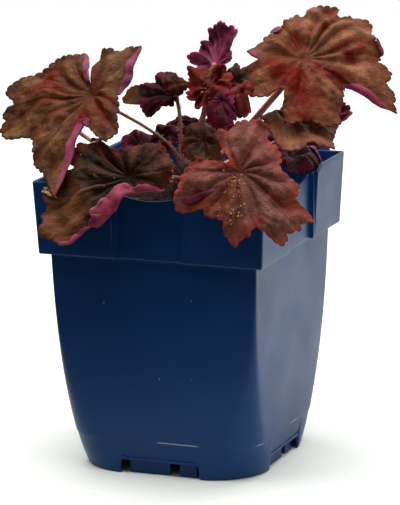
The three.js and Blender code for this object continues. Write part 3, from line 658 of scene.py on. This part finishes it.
def leaf_upper(name, tan, brown, deep, margin, tint_and_shading):
    """The upper face: tan on the ridges as a painted highlight and brown towards the veins as painted
    shade, in soft patches, darker along the border and on the veins, tinted in places by the leaf's
    own flush and by painted light and shade, with a thin coloured margin and a fine net of small
    veins between the larger ones."""
    face = Finish(name, Roughness=0.45, Specular_IOR_Level=0.05)
    # Painted highlight: tan where the ridge mark is high, as if the ridges caught the light; the brown left
    # towards the veins is painted shade.
    light = face.math("MULTIPLY", face.mark("ridge"), face.between(face.noise(70.0, 5.0), 0.4, 0.6))
    colour = face.blend(light, paint(*brown), paint(*tan))
    shade = face.between(face.noise(120.0, 6.0, (1.0, 1.3, 0.9)), 0.5, 0.66)
    colour = face.over(colour, shade, 0.65, [c * 0.5 for c in brown])
    mottle = face.between(face.noise(420.0, 5.0), 0.42, 0.68)
    colour = face.over(colour, mottle, 0.4, [c * 0.55 for c in brown])
    band = face.math("MULTIPLY", face.mark("border"), face.between(face.noise(140.0, 3.0), 0.3, 0.65))
    colour = face.over(colour, band, 0.6, margin)
    # The tint mark lays on the tint colour: partly the leaf's own flush, partly painted shade in the folds
    # and painted light on lit lobes.
    for mark, strength, top in (("vein", 0.4, deep), ("blush", 0.95, tint_and_shading), ("edge", 0.7, margin)):
        colour = face.over(colour, face.mark(mark), strength, top)
    face.set("Base Color", colour)
    cells = face.add("TexVoronoi", {"Vector": face.place, "Scale": 420.0}, feature="DISTANCE_TO_EDGE")
    net = face.math("MULTIPLY", face.between(cells, 0.0, 0.14), 0.5)
    face.bump(face.math("ADD", net, face.noise(520.0, 4.0)), 0.00032, 0.7)
    return face


def leaf_under(name, flesh, dark, vein):
    """The lower face: magenta, paler on the raised veins, with a felt of fine hairs in its relief."""
    face = Finish(name, Roughness=0.6, Specular_IOR_Level=0.25, Sheen_Weight=0.08)
    patches = face.between(face.noise(120.0, 4.0), 0.35, 0.7)
    colour = face.blend(patches, paint(*flesh), paint(*dark))
    colour = face.over(colour, face.mark("vein"), 0.6, vein)
    face.set("Base Color", face.over(colour, face.mark("edge"), 0.35, vein))
    face.bump(face.noise(900.0, 3.0), 0.0003, 0.6)
    return face


def leaf_stalk(name, dark, pale):
    """A stalk: streaked lengthwise from dark to pale, with a bloom of fine pale hairs."""
    face = Finish(name, Roughness=0.5)
    streaks = face.noise(90.0, 3.0, (1.0, 1.0, 0.3))
    bloom = face.between(face.noise(1500.0, 2.0), 0.5, 0.7)
    colour = face.blend(streaks, paint(*dark), paint(*pale))
    face.set("Base Color", face.over(colour, bloom, 0.5, (222, 190, 170)))
    face.bump(bloom, 0.0003)
    return face


brown_stalk = leaf_stalk("leaf_stalk", (150, 62, 56), (190, 118, 92))
pink_stalk = leaf_stalk("leaf_stalk_pink", (176, 72, 84), (210, 140, 132))
magenta_under = leaf_under("leaf_under_magenta", (116, 15, 56), (80, 10, 40), (134, 36, 72))
pink_under = leaf_under("leaf_under_pink", (140, 38, 66), (104, 24, 48), (172, 88, 94))
kinds = {
    "bronze": [leaf_upper("leaf_bronze", (122, 86, 52), (84, 46, 27), (58, 16, 8), (50, 22, 12),
                          (96, 20, 6)), magenta_under, brown_stalk],
    # The ruddy kind's near-black red tint is mostly painted shade in its leaf's folds.
    "ruddy": [leaf_upper("leaf_ruddy", (146, 98, 66), (112, 66, 45), (66, 20, 10), (72, 26, 16),
                         (90, 12, 4)), magenta_under, pink_stalk],
    # The shaded kind's tint is paler than its tan and brown: painted light where its leaf comes out of
    # shade.
    "shaded": [leaf_upper("leaf_shaded", (56, 38, 21), (31, 19, 11), (34, 12, 8), (92, 36, 20),
                          (112, 68, 46)), pink_under, brown_stalk],
    "russet": [leaf_upper("leaf_russet", (126, 86, 72), (106, 62, 53), (68, 20, 14), (134, 42, 34),
                          (102, 32, 14)), magenta_under, brown_stalk],
}
large_leaves = [
    Leaf("leaf_left", "bronze", (-35.5, -28.5, 170), -110, 45,
         [(-131, 31), (-121, 36), (-114, 39), (-105, 40), (-95, 47), (-87, 51), (-82, 50), (-76, 44),
          (-69, 49), (-65, 47), (-58, 49), (-50, 46), (-46, 42), (-39, 35), (-30, 35), (-18, 41),
          (-8, 43), (0, 46), (5, 50), (11, 55), (13, 40), (14, 27), (19, 18), (28, 20), (35, 25),
          (45, 33), (52, 31), (59, 28), (66, 23), (80, 19), (96, 15), (113, 15), (126, 18), (140, 21),
          (150, 25), (157, 31), (170, 30), (177, 29), (182, 26), (192, 27), (201, 26), (205, 20),
          (208, 12), (214, 6), (219, 16), (221, 29)],
         (-160, 136, 14, 9, 0.8), (-128, -104, -84, -66, -45, -20, 2, 45, 75, 115, 160, 190),
         curls=((11, 30, 3.2, 1.3), (98, 157, 2.4, 1.2), (215, 221, 1.8)),
         creases=((-99, 2.2, 4.0), (-72, -1.4, 2.5), (-20, 1.2, 3.0), (55, 1.0, 3.0), (170, 1.2, 3.0)),
         blush=((-98, 30, 7, 0.7), (-85, 20, 6, 0.4), (20, 14, 8, 0.4), (60, 16, 8, 0.3))),
    Leaf("leaf_rim", "shaded", (-7, -58, 140), -95, 60,
         [(-79, 40), (-74, 43), (-67, 41), (-62, 45), (-58, 44), (-52, 48), (-44, 44), (-38, 42),
          (-33, 38), (-31, 31), (-27, 26), (-22, 25), (-17, 19), (-10, 14), (-4, 10), (9, 8), (30, 8),
          (54, 10), (69, 14), (76, 18), (92, 20), (99, 22), (109, 23), (122, 21), (140, 21),
          (152, 19), (165, 18), (180, 15), (205, 14), (219, 16), (225, 21), (229, 27), (233, 30),
          (239, 30), (243, 33), (256, 33), (261, 32), (265, 28), (269, 32), (276, 36)],
         (-98, 128, 6, 6, 1.2), (-68, -52, -35, 85, 108, 135, 165, 205, 237, 258), bow=1.5,
         fall=(0, 0.07, -115), pleat=1.0, slot="leaf_bronze",
         curls=((-29, 40, 6.8, 0.85, 0.7), (-40, -28, 1.2), (0, 80, 2.2)),
         creases=((-120, 1.8, 4.0), (100, -1.0, 4.0), (-62, 0.8, 3.0)),
         # These spots are painted light: the pale tint on the lobes that stand out of the shade of the leaf
         # above.
         blush=((-54, 39, 13, 1.0), (-52, 29, 7, 0.6), (100, 15, 6, 0.2))),
    Leaf("leaf_front", "russet", (46, -60, 146), -80, 60,
         [(-107, 20), (-97, 24), (-85, 27), (-77, 28), (-68, 31), (-57, 32), (-50, 27), (-42, 23),
          (-34, 24), (-16, 23), (-12, 27), (-6, 30), (0, 33), (6, 30), (13, 29), (19, 26), (26, 30),
          (32, 37), (38, 37), (41, 35), (49, 37), (54, 36), (59, 39), (63, 34), (67, 28), (79, 27),
          (87, 22), (98, 18), (113, 19), (128, 20), (142, 19), (150, 21), (157, 25), (170, 25),
          (187, 25), (194, 22), (202, 21), (208, 23), (216, 20), (219, 12), (231, 5), (244, 9),
          (249, 15)],
         (-52, 129, 8, 9, 1.3), (-85, -57, -30, 0, 30, 58, 82, 112, 150, 180, 205),
         fall=(0.1, 0, 0), pleat=1.0, curls=((-62, -50, 2.0, 1.0, 0.4, 4, 48, (0.86, 0.5)),),
         creases=((-35, 1.8, 3.0), (12, -1.2, 3.0), (48, 1.2, 3.0), (95, 1.4, 3.0), (165, -1.4, 3.5),
                  (-95, -1.2, 3.0)),
         blush=((-50, 21, 5, 0.8), (-28, 14, 4, 0.5), (54, 20, 4, 0.5), (57, 28, 4, 0.5))),
    Leaf("leaf_right", "ruddy", (51, 8.5, 185), -55, 50,
         [(-158, 19), (-146, 19), (-133, 19), (-127, 20), (-119, 20), (-106, 25), (-99, 24), (-89, 22),
          (-85, 27), (-74, 28), (-65, 30), (-57, 32), (-46, 28), (-41, 21), (-34, 23), (-28, 30),
          (-21, 35), (-7, 32), (5, 35), (19, 36), (22, 32), (35, 26), (43, 23), (47, 26), (48, 31),
          (49, 37), (50, 42), (52, 49), (56, 46), (61, 45), (66, 40), (74, 41), (81, 38), (84, 35),
          (88, 37), (93, 38), (99, 37), (108, 36), (113, 39), (119, 39), (127, 35), (131, 35),
          (137, 30), (140, 35), (146, 33), (151, 31), (156, 30), (164, 27), (169, 22), (175, 24),
          (182, 23), (190, 21), (195, 21)],
         (3, 129, 10, 12, 1.6), (-135, -95, -55, -20, 12, 50, 78, 97, 118, 134, 150, 178),
         curls=((38, 51, 1.8), (-157, -140, 2.6), (91, 103, 1.5), (-104, -92, 1.8)), slot="leaf_bronze",
         creases=((50, -2.6, 3.5), (36, 2.2, 3.5), (-8, 1.6, 3.5), (-45, -1.2, 3.5), (-78, 1.4, 3.5),
                  (90, 1.8, 2.5), (142, 1.6, 2.5), (128, 0.8, 2.0), (200, 3.4, 2.2)),
         # Most of these spots are painted shade: dark red under the ridges and in the folds, and the dark
         # sinus by the hub at 197; a few are the leaf's own red.
         blush=((-28, 9, 6, 1.0), (-30, 16, 6, 0.9), (-62, 16, 5, 0.8), (-82, 16, 4, 0.7), (-3, 21, 6, 0.9),
                (-10, 30, 6, 0.7), (41, 8, 3, 0.9), (42, 14, 3, 1.0), (44, 20, 3, 1.0), (94, 20, 3, 0.9),
                (96, 27, 3.5, 0.9), (85, 22, 2.5, 0.8), (142, 20, 2.5, 0.8), (142, 29, 3, 0.8),
                (197, 9, 4, 0.8), (90, 36, 4, 0.5))),
]

# ---------- Small leaves ----------
# Young and half-hidden leaves crowd the middle of the plant and the inside of the rim. They are made
# as the large ones are. Most of the young ones are maroon, and those in the shade dark olive.
rosy_under = leaf_under("leaf_under_rosy", (120, 27, 64), (78, 15, 41), (166, 74, 108))
kinds |= {
    "olive": [leaf_upper("leaf_olive", (70, 52, 28), (42, 26, 16), (40, 12, 8), (80, 30, 18),
                         (68, 26, 12)), magenta_under, brown_stalk],
    "magenta": [leaf_upper("leaf_maroon", (78, 18, 34), (46, 8, 20), (28, 4, 10), (98, 18, 42),
                           (112, 26, 40)), rosy_under, brown_stalk],
    "fading": [leaf_upper("leaf_fading", (70, 14, 30), (42, 7, 18), (26, 4, 10), (88, 16, 38),
                          (76, 48, 26)), rosy_under, brown_stalk],
    "young": [leaf_upper("leaf_young", (124, 60, 44), (82, 28, 24), (60, 8, 10), (116, 38, 34),
                         (104, 16, 16)), magenta_under, pink_stalk],
}
kinds["rosy"] = [kinds["magenta"][0], pink_under, pink_stalk]
small_leaves = [
    Leaf("leaf_side", "fading", (-8, 0, 166), -130, 60,
         [(-133, 16), (-120, 20), (-112, 21), (-104, 19), (-95, 25), (-92, 27), (-91, 38), (-87, 45),
          (-82, 46), (-78, 44), (-75, 34), (-72, 26), (-68, 23), (-60, 21), (-51, 19), (-43, 17),
          (-31, 12), (-24, 9), (-15, 6), (20, 5), (70, 4), (120, 5), (150, 7), (205, 10)],
         (185, 137, 10, 5, 0.9), (-125, -105, -84, -60, -45, 60, 170),
         blush=((-84, 42, 9, 1.0), (-80, 32, 6, 0.9)), slot="leaf_magenta"),
    Leaf("leaf_top", "magenta", (12, 0, 182), 70, 100,
         [(-263, 17), (-244, 13), (-229, 14), (-209, 14), (-203, 17), (-190, 18), (-178, 20),
          (-171, 20), (-167, 19), (-157, 20), (-145, 19), (-141, 11), (-125, 11), (-112, 10),
          (-100, 4), (-60, 3), (0, 3), (45, 4), (72, 10)],
         (70, 137, 14, 3, 1.1), (-255, -225, -200, -178, -155, -120)),
    Leaf("leaf_centre", "young", (12, -7, 174), -95, 55,
         [(-155, 12), (-120, 14), (-90, 12), (-60, 12), (-25, 12), (10, 12), (45, 14), (80, 12),
          (115, 12), (150, 11)],
         (-60, 137, 14, 8, 1.1), (-160, -95, -50, -28, 20, 75, 98, 150), notch=0.15, bow=-2,
         pleat=3.4, wave=1.1,
         creases=((-40, 2.0, 2.5), (60, -2.0, 2.5), (130, 1.8, 2.5), (-120, -1.6, 2.5)),
         blush=((-70, 8, 4, 0.8), (40, 9, 4, 0.8), (170, 8, 3, 0.6)), slot="leaf_russet"),
    Leaf("leaf_low_right", "ruddy", (44, 2, 159), -55, 20,
         [(-150, 6), (-115, 11), (-60, 12), (-40, 16), (-22, 24), (-8, 29), (4, 28), (12, 26),
          (20, 30), (29, 33), (38, 28), (50, 25), (62, 21), (95, 17), (135, 12)],
         (-20, 133, 8, 9, 1.1), (-120, -60, -25, 0, 28, 55, 100),
         slot="leaf_russet"),
    Leaf("leaf_inner_right", "fading", (40, 20, 137), -5, 30,
         [(-120, 8), (-85, 8), (-58, 13), (-30, 12), (0, 13), (30, 15), (42, 19), (58, 20), (73, 21),
          (86, 22), (97, 21), (115, 17), (145, 14), (190, 10)],
         (30, 124, 4, 6, 1), (-90, -40, 10, 45, 75, 105, 150), curls=((38, 100, 5.0, 1.0),),
         slot="leaf_olive"),
    Leaf("leaf_behind_right", "rosy", (57, 23, 159), 105, 140,
         [(-128, 10), (-114, 11), (-93, 12), (-80, 11), (-66, 9), (-46, 9), (-32, 11), (-24, 13),
          (-17, 16), (-6, 15), (2, 13), (15, 8), (60, 8), (110, 9), (150, 10), (190, 10)],
         (32, 133, 10, 5, 1), (-125, -93, -50, -15, 40, 120), slot="leaf_magenta"),
    Leaf("leaf_low_centre", "olive", (14, -20, 150), -105, 35,
         [(-155, 12), (-120, 14), (-85, 11), (-45, 11), (0, 12), (35, 15), (65, 14), (100, 10),
          (150, 8)],
         (-75, 134, 5, 5, 0.9), (-140, -90, -45, 0, 40, 80, 130), notch=0.12),
    Leaf("leaf_inner_left", "magenta", (-30, 14, 139), -80, 20,
         [(-178, 11), (-162, 16), (-150, 14), (-130, 14), (-110, 11), (-90, 9), (-60, 9), (-20, 12),
          (10, 14), (40, 12), (80, 11), (120, 12), (150, 11)],
         (150, 126, 4, 5, 0.9), (-162, -130, -80, -20, 40, 110)),
    Leaf("leaf_pointed", "magenta", (-16, 6, 145), -105, 40,
         [(-175, 7), (-165, 12), (-155, 9), (-141, 8), (-120, 7), (-90, 7), (-40, 7), (0, 8), (40, 10),
          (80, 10), (110, 9), (124, 10), (133, 13), (145, 8), (158, 8), (171, 7)],
         (165, 133, 4, 4, 0.8), (-165, -110, -40, 30, 90, 132)),
    Leaf("leaf_olive", "olive", (23, 1, 174), -105, 50,
         [(-178, 9), (-170, 7), (-160, 10), (-145, 10), (-135, 9), (-120, 10), (-105, 9), (-75, 7),
          (-40, 6), (0, 6), (40, 8), (80, 9), (115, 9), (150, 9)],
         (35, 137, 12, 5, 0.8), (-160, -120, -60, 0, 60, 120)),
    Leaf("leaf_maroon", "magenta", (24, -22, 170), -105, 55,
         [(-90, 5), (-40, 7), (-10, 11), (10, 15), (28, 16), (45, 14), (62, 11), (90, 7), (130, 6),
          (180, 6), (225, 5)],
         (-30, 136, 12, 5, 0.8), (-60, 0, 28, 60, 130)),
    Leaf("leaf_orange", "young", (30, -12, 172), -80, 50,
         [(-110, 6), (-60, 9), (-35, 11), (-10, 12), (10, 13), (25, 11), (38, 6), (70, 5), (120, 6),
          (160, 6), (200, 5)],
         (2, 137, 12, 5, 0.8), (-90, -35, 5, 60, 150), pleat=2.6, slot="leaf_russet"),
    Leaf("leaf_curl", "young", (9, 8, 176), -105, 50,
         [(-150, 5), (-100, 6), (-50, 6), (0, 6), (50, 5), (100, 4), (150, 4)],
         (112, 134, 15, 3, 0.8), (-120, -50, 20, 90), bow=-1, slot="leaf_russet"),
    Leaf("leaf_hook", "olive", (-4, -6, 173), -60, 45,
         [(-160, 8), (-110, 7), (-60, 6), (-20, 6), (20, 5), (80, 5), (150, 5)],
         (240, 137, 12, 4, 0.6), (-130, -60, 0, 80)),
]

# ---------- Back leaves ----------
# Three older leaves hang over the back and left walls, so the plant is as full behind as in front.
# They are bronze and evenly grown, with seven lobes and a main vein into each.
LOBE_TURNS = np.linspace(-125, 125, 7)
LARGE_ROWS, SMALL_ROWS = 40, 20


def even_lobes(reach):
    """Seven lobes spread evenly round a hub, the middle one longest, and the gap at the stalk: the
    reach falls off with the 1.5 power of the turn."""
    share = 1 - 0.55 * np.abs(LOBE_TURNS / LOBE_TURNS[-1]) ** 1.5
    return [(turn, reach * part) for turn, part in zip(LOBE_TURNS, share)] + [(180, 5)]


back_leaves = [
    Leaf("leaf_back_left", "bronze", (-18, 60, 140), 102, 62, even_lobes(30),
         (108, 127, 6, 7, 1.2), LOBE_TURNS, notch=0.12, fall=(0.1, 0, 0)),
    Leaf("leaf_back_right", "bronze", (26, 60, 140), 84, 62, even_lobes(29),
         (62, 128, 6, 7, 1.2), LOBE_TURNS, notch=0.12, fall=(0.1, 0, 0)),
    Leaf("leaf_back_side", "bronze", (-65, 15, 148), 175, 5, even_lobes(28.5),
         (175, 124, 2, 7, 1.1), LOBE_TURNS, notch=0.12),
]
grown = {leaf.name: leaf for leaf in large_leaves + small_leaves + back_leaves}
for seed, leaf in enumerate(grown.values(), 1):
    leaf.grow(kinds[leaf.finish], seed, LARGE_ROWS if leaf in large_leaves else SMALL_ROWS)

# ---------- Crumbs and straw ----------
# Grains of potting mix, drops that have dried to gold and bits of pale straw lie on the blades where
# watering left them, a little sunk in. Patches are (leaf, down, across, spread, how many, size) and
# straws (leaf, start, end, half width, height of the middle over the ends).
GRAIN_PATCHES = (("leaf_front", 5, -2, 6, 44, 0.42), ("leaf_front", 17, -2, 6, 30, 0.5),
                 ("leaf_rim", 8, -38, 4, 16, 0.6), ("leaf_right", 10, 2, 7, 18, 0.3),
                 ("leaf_left", 20, 0, 14, 16, 0.32), ("leaf_centre", 4, 0, 6, 22, 0.4),
                 ("leaf_low_right", 10, 8, 7, 34, 0.42), ("leaf_rim", 4, -10, 12, 12, 0.3))
STRAWS = (("leaf_rim", (9, -42), (12, -33), 0.75, 1.2), ("leaf_rim", (7, -40), (10, -40), 0.5, 1.6),
          ("leaf_rim", (-14, -23), (-17, -19), 0.45, 2.2), ("leaf_rim", (-15, -20), (-19, -17), 0.4, 2.0))
GRAIN_LIFT, STRAW_LIFT, STRAW_HALF_THICKNESS = 0.1, 0.45, 0.16


def grains(points, sizes, draw, rows=5, cols=6):
    """Rough grains at points: rings of a sphere, each radius drawn a little long or short, and the
    whole squashed by a draw each way."""
    a = np.linspace(0, np.pi, rows + 2)[1:-1, None]
    b = once_round(cols)[None]
    sphere = np.stack([np.sin(a) * np.cos(b), np.sin(a) * np.sin(b), -np.cos(a) + 0 * b], -1)
    rough = draw.uniform(0.7, 1.25, (len(points), rows, cols, 1))
    squash = draw.uniform(0.6, 1.0, (len(points), 1, 1, 3))
    return points[:, None, None] + sphere * rough * squash * sizes[:, None, None, None]


gold = Finish("leaf_grains", Roughness=0.5, Specular_IOR_Level=0.35)
kind = gold.between(gold.noise(600.0, 1.0), 0.42, 0.62)
gold.set("Base Color", gold.blend(kind, paint(196, 132, 70), paint(92, 48, 26)))
draw = np.random.default_rng(21)
form = Form()
for name, down, across, spread, count, size in GRAIN_PATCHES:
    places = np.array([down, across]) + draw.normal(0, spread / 2, (count, 2))
    middle, normal, _ = grown[name].skin(places)
    sizes = size * draw.uniform(0.5, 1.3, count)
    for grain in grains(middle + normal * (BLADE_THICKNESS / 2 + GRAIN_LIFT), sizes, draw):
        form.tube(grain)
form.make("leaf_grains", [gold], [])

straw = Finish("leaf_straw", Roughness=0.6, Specular_IOR_Level=0.2)
streaks = straw.between(straw.noise(500.0, 3.0), 0.35, 0.65)
straw.set("Base Color", straw.blend(streaks, paint(206, 170, 124), paint(150, 96, 62)))
form = Form()
for name, start, end, width, height in STRAWS:
    t = np.linspace(0, 1, 12)
    places = np.array(start) + np.outer(t, np.subtract(end, start))
    middle, normal, _ = grown[name].skin(places)
    path = middle + normal * (STRAW_LIFT + height * np.sin(np.pi * t) ** 2)[:, None]
    ahead = unit(np.gradient(path, axis=0))
    beside = unit(np.cross(ahead, normal))
    above = np.cross(ahead, beside)
    a = once_round(8)[None, :, None]
    flat = width * (0.35 + 0.65 * np.sin(np.pi * t) ** 0.5)[:, None, None]
    across = flat * np.cos(a) * beside[:, None] + STRAW_HALF_THICKNESS * np.sin(a) * above[:, None]
    form.tube(path[:, None] + across)
form.make("leaf_straw", [straw], [])

# ---------- Hairs ----------
# Soft pale hairs stand straight out from the stalks, many on some and few on others. Each is a slim
# spike with its foot in the stalk. Their taper is told as (share of the length, radius).
HAIR_LENGTH, HAIR_TAPER = 1.5, ((0.0, 0.09), (0.4, 0.075), (0.75, 0.055), (1.0, 0.02))
HAIRY = {"leaf_centre": 90, "leaf_orange": 90, "leaf_maroon": 70, "leaf_top": 90, "leaf_curl": 80,
         "leaf_hook": 60, "leaf_olive": 60, "leaf_side": 80, "leaf_right": 120, "leaf_left": 90,
         "leaf_low_right": 40, "leaf_front": 30, "leaf_rim": 30, "leaf_behind_right": 40}


def stalk_hairs(leaf, count, draw):
    """Hairs all round a leaf's stalk, each of four sides that taper along it, at drawn places, turns
    and lengths, leaning a little off the square."""
    path, beside, above, thick = leaf.path(np.sort(draw.uniform(0.15, 0.97, count)))
    angle = draw.uniform(0, 2 * np.pi, count)[:, None]
    out = np.cos(angle) * beside + np.sin(angle) * above
    out = unit(out + draw.normal(0, 0.3, (count, 3)))
    side = unit(np.cross(out, [0.2, 0.3, 0.93]))
    other = np.cross(out, side)
    foot = path + out * thick * 0.8
    share, size = np.array(HAIR_TAPER).T[:, None, :, None, None]
    a = once_round(4)[None, None, :, None]
    ring = np.cos(a) * side[:, None, None] + np.sin(a) * other[:, None, None]
    reach = (HAIR_LENGTH * draw.uniform(0.6, 1.2, count))[:, None, None, None]
    return foot[:, None, None] + out[:, None, None] * share * reach + ring * size


hair = Finish("leaf_hair", Roughness=0.5, Specular_IOR_Level=0.3)
hair.set("Base Color", hair.blend(hair.noise(200.0), paint(214, 150, 150), paint(236, 214, 200)))
draw = np.random.default_rng(33)
form = Form()
for name, count in HAIRY.items():
    for spike in stalk_hairs(grown[name], count, draw):
        form.tube(spike)
form.make("leaf_hairs", [hair], [])

# ---------- Studio ----------
# A pale paper floor that fades out into a white room, under three square soft lights: a strong one
# overhead, a weak one on the right and one behind. The camera stands a metre and a half off, a
# little to the right and above the plant. Lights are (name, place, side, power).
FLOOR_MIDDLE, FLOOR_REACH, FLOOR_SOLID, FLOOR_SIDES = np.array([0.25, 0.6, 0.0]), 0.9, 0.7, 96
LIGHTS = (("light_overhead", (-0.12, 0.0, 1.25), 1.3, 29.0), ("light_right", (1.3, 0.1, 0.75), 1.0, 7.0),
          ("light_behind", (0.2, 1.5, 0.7), 1.4, 12.0))
LIGHTS_AIM, CAMERA_AIM = (0, 0, 0.1), np.array([0.0037, 0.0, 0.0947])
AZIMUTH, ELEVATION, ROLL = np.radians([21.3, 12.7, -0.7])
CAMERA_DISTANCE, LENS, SENSOR, VIEW_END = 1.467, 228.4, 36.0, 20.0
DOME_HEIGHTS, DOME_STRENGTHS = (0.1, 0.8), (0.03, 0.55)


def point_at(thing, place, target, roll=0.0):
    """Puts a lamp or camera at a place, looking at a target, rolled about its line of sight."""
    back = unit(np.array(place, float) - target)
    right = unit(np.cross([0, 0, 1], back))
    above = np.cross(back, right)
    c, s = np.cos(roll), np.sin(roll)
    axes = np.column_stack([right * c + above * s, above * c - right * s, back])
    thing.matrix_world = Matrix.Translation(place) @ Matrix(axes.tolist()).to_4x4()


paper = Finish("floor_paper", Roughness=0.9, Specular_IOR_Level=0.1)
paper.set("Base Color", paint(226, 229, 223))
from_middle = paper.add("VectorMath", {0: paper.place, 1: FLOOR_MIDDLE}, give="Value", operation="DISTANCE")
fade = paper.between(from_middle, FLOOR_SOLID, FLOOR_REACH)
clear = paper.add("BsdfTransparent")
faded = paper.add("MixShader", {0: fade, 1: paper.surface.outputs[0], 2: clear})
paper.join(paper.tree.nodes["Material Output"].inputs[0], faded)
floor = Form()
angle = once_round(FLOOR_SIDES)
disc = np.stack([np.cos(angle), np.sin(angle), 0 * angle], -1)
rings = disc * np.linspace(1, 0.05, 12)[:, None, None] * FLOOR_REACH + FLOOR_MIDDLE
_, end = floor.sheet(rings / MM)
floor.cap(end, FLOOR_SIDES, FLOOR_MIDDLE / MM)
put_in_scene("floor", floor.mesh("floor", [paper]))

for name, place, side, power in LIGHTS:
    lamp = bpy.data.lights.new(name, "AREA")
    lamp.shape, lamp.size, lamp.energy = "SQUARE", side, power
    point_at(put_in_scene(name, lamp), place, LIGHTS_AIM)

# The room lights the plant from above more than from the sides, and the camera sees it plain white.
world = bpy.data.worlds.new("white_room")
world.use_nodes = True
bpy.context.scene.world = world
room = Nodes(world.node_tree)
up = room.add("SeparateXYZ", {0: room.add("TexCoord", give="Generated")}, give="Z")
dome = room.add("MapRange", {0: up, **dict(enumerate(DOME_HEIGHTS + DOME_STRENGTHS, 1))})
strength = room.add("Mix", {0: room.add("LightPath", give="Is Camera Ray"), 2: dome, 3: 1.0})
sky = room.tree.nodes["Background"]
room.join(sky.inputs["Strength"], strength)
room.join(sky.inputs["Color"], (1, 1, 1, 1))
bpy.context.scene.view_settings.view_transform = "Standard"

camera = bpy.data.cameras.new("camera")
camera.lens, camera.sensor_width, camera.clip_end = LENS, SENSOR, VIEW_END
camera_object = put_in_scene("camera", camera)
back = np.array([np.sin(AZIMUTH) * np.cos(ELEVATION), -np.cos(AZIMUTH) * np.cos(ELEVATION),
                 np.sin(ELEVATION)])
point_at(camera_object, CAMERA_AIM + back * CAMERA_DISTANCE, CAMERA_AIM, ROLL)
bpy.context.scene.camera = camera_object
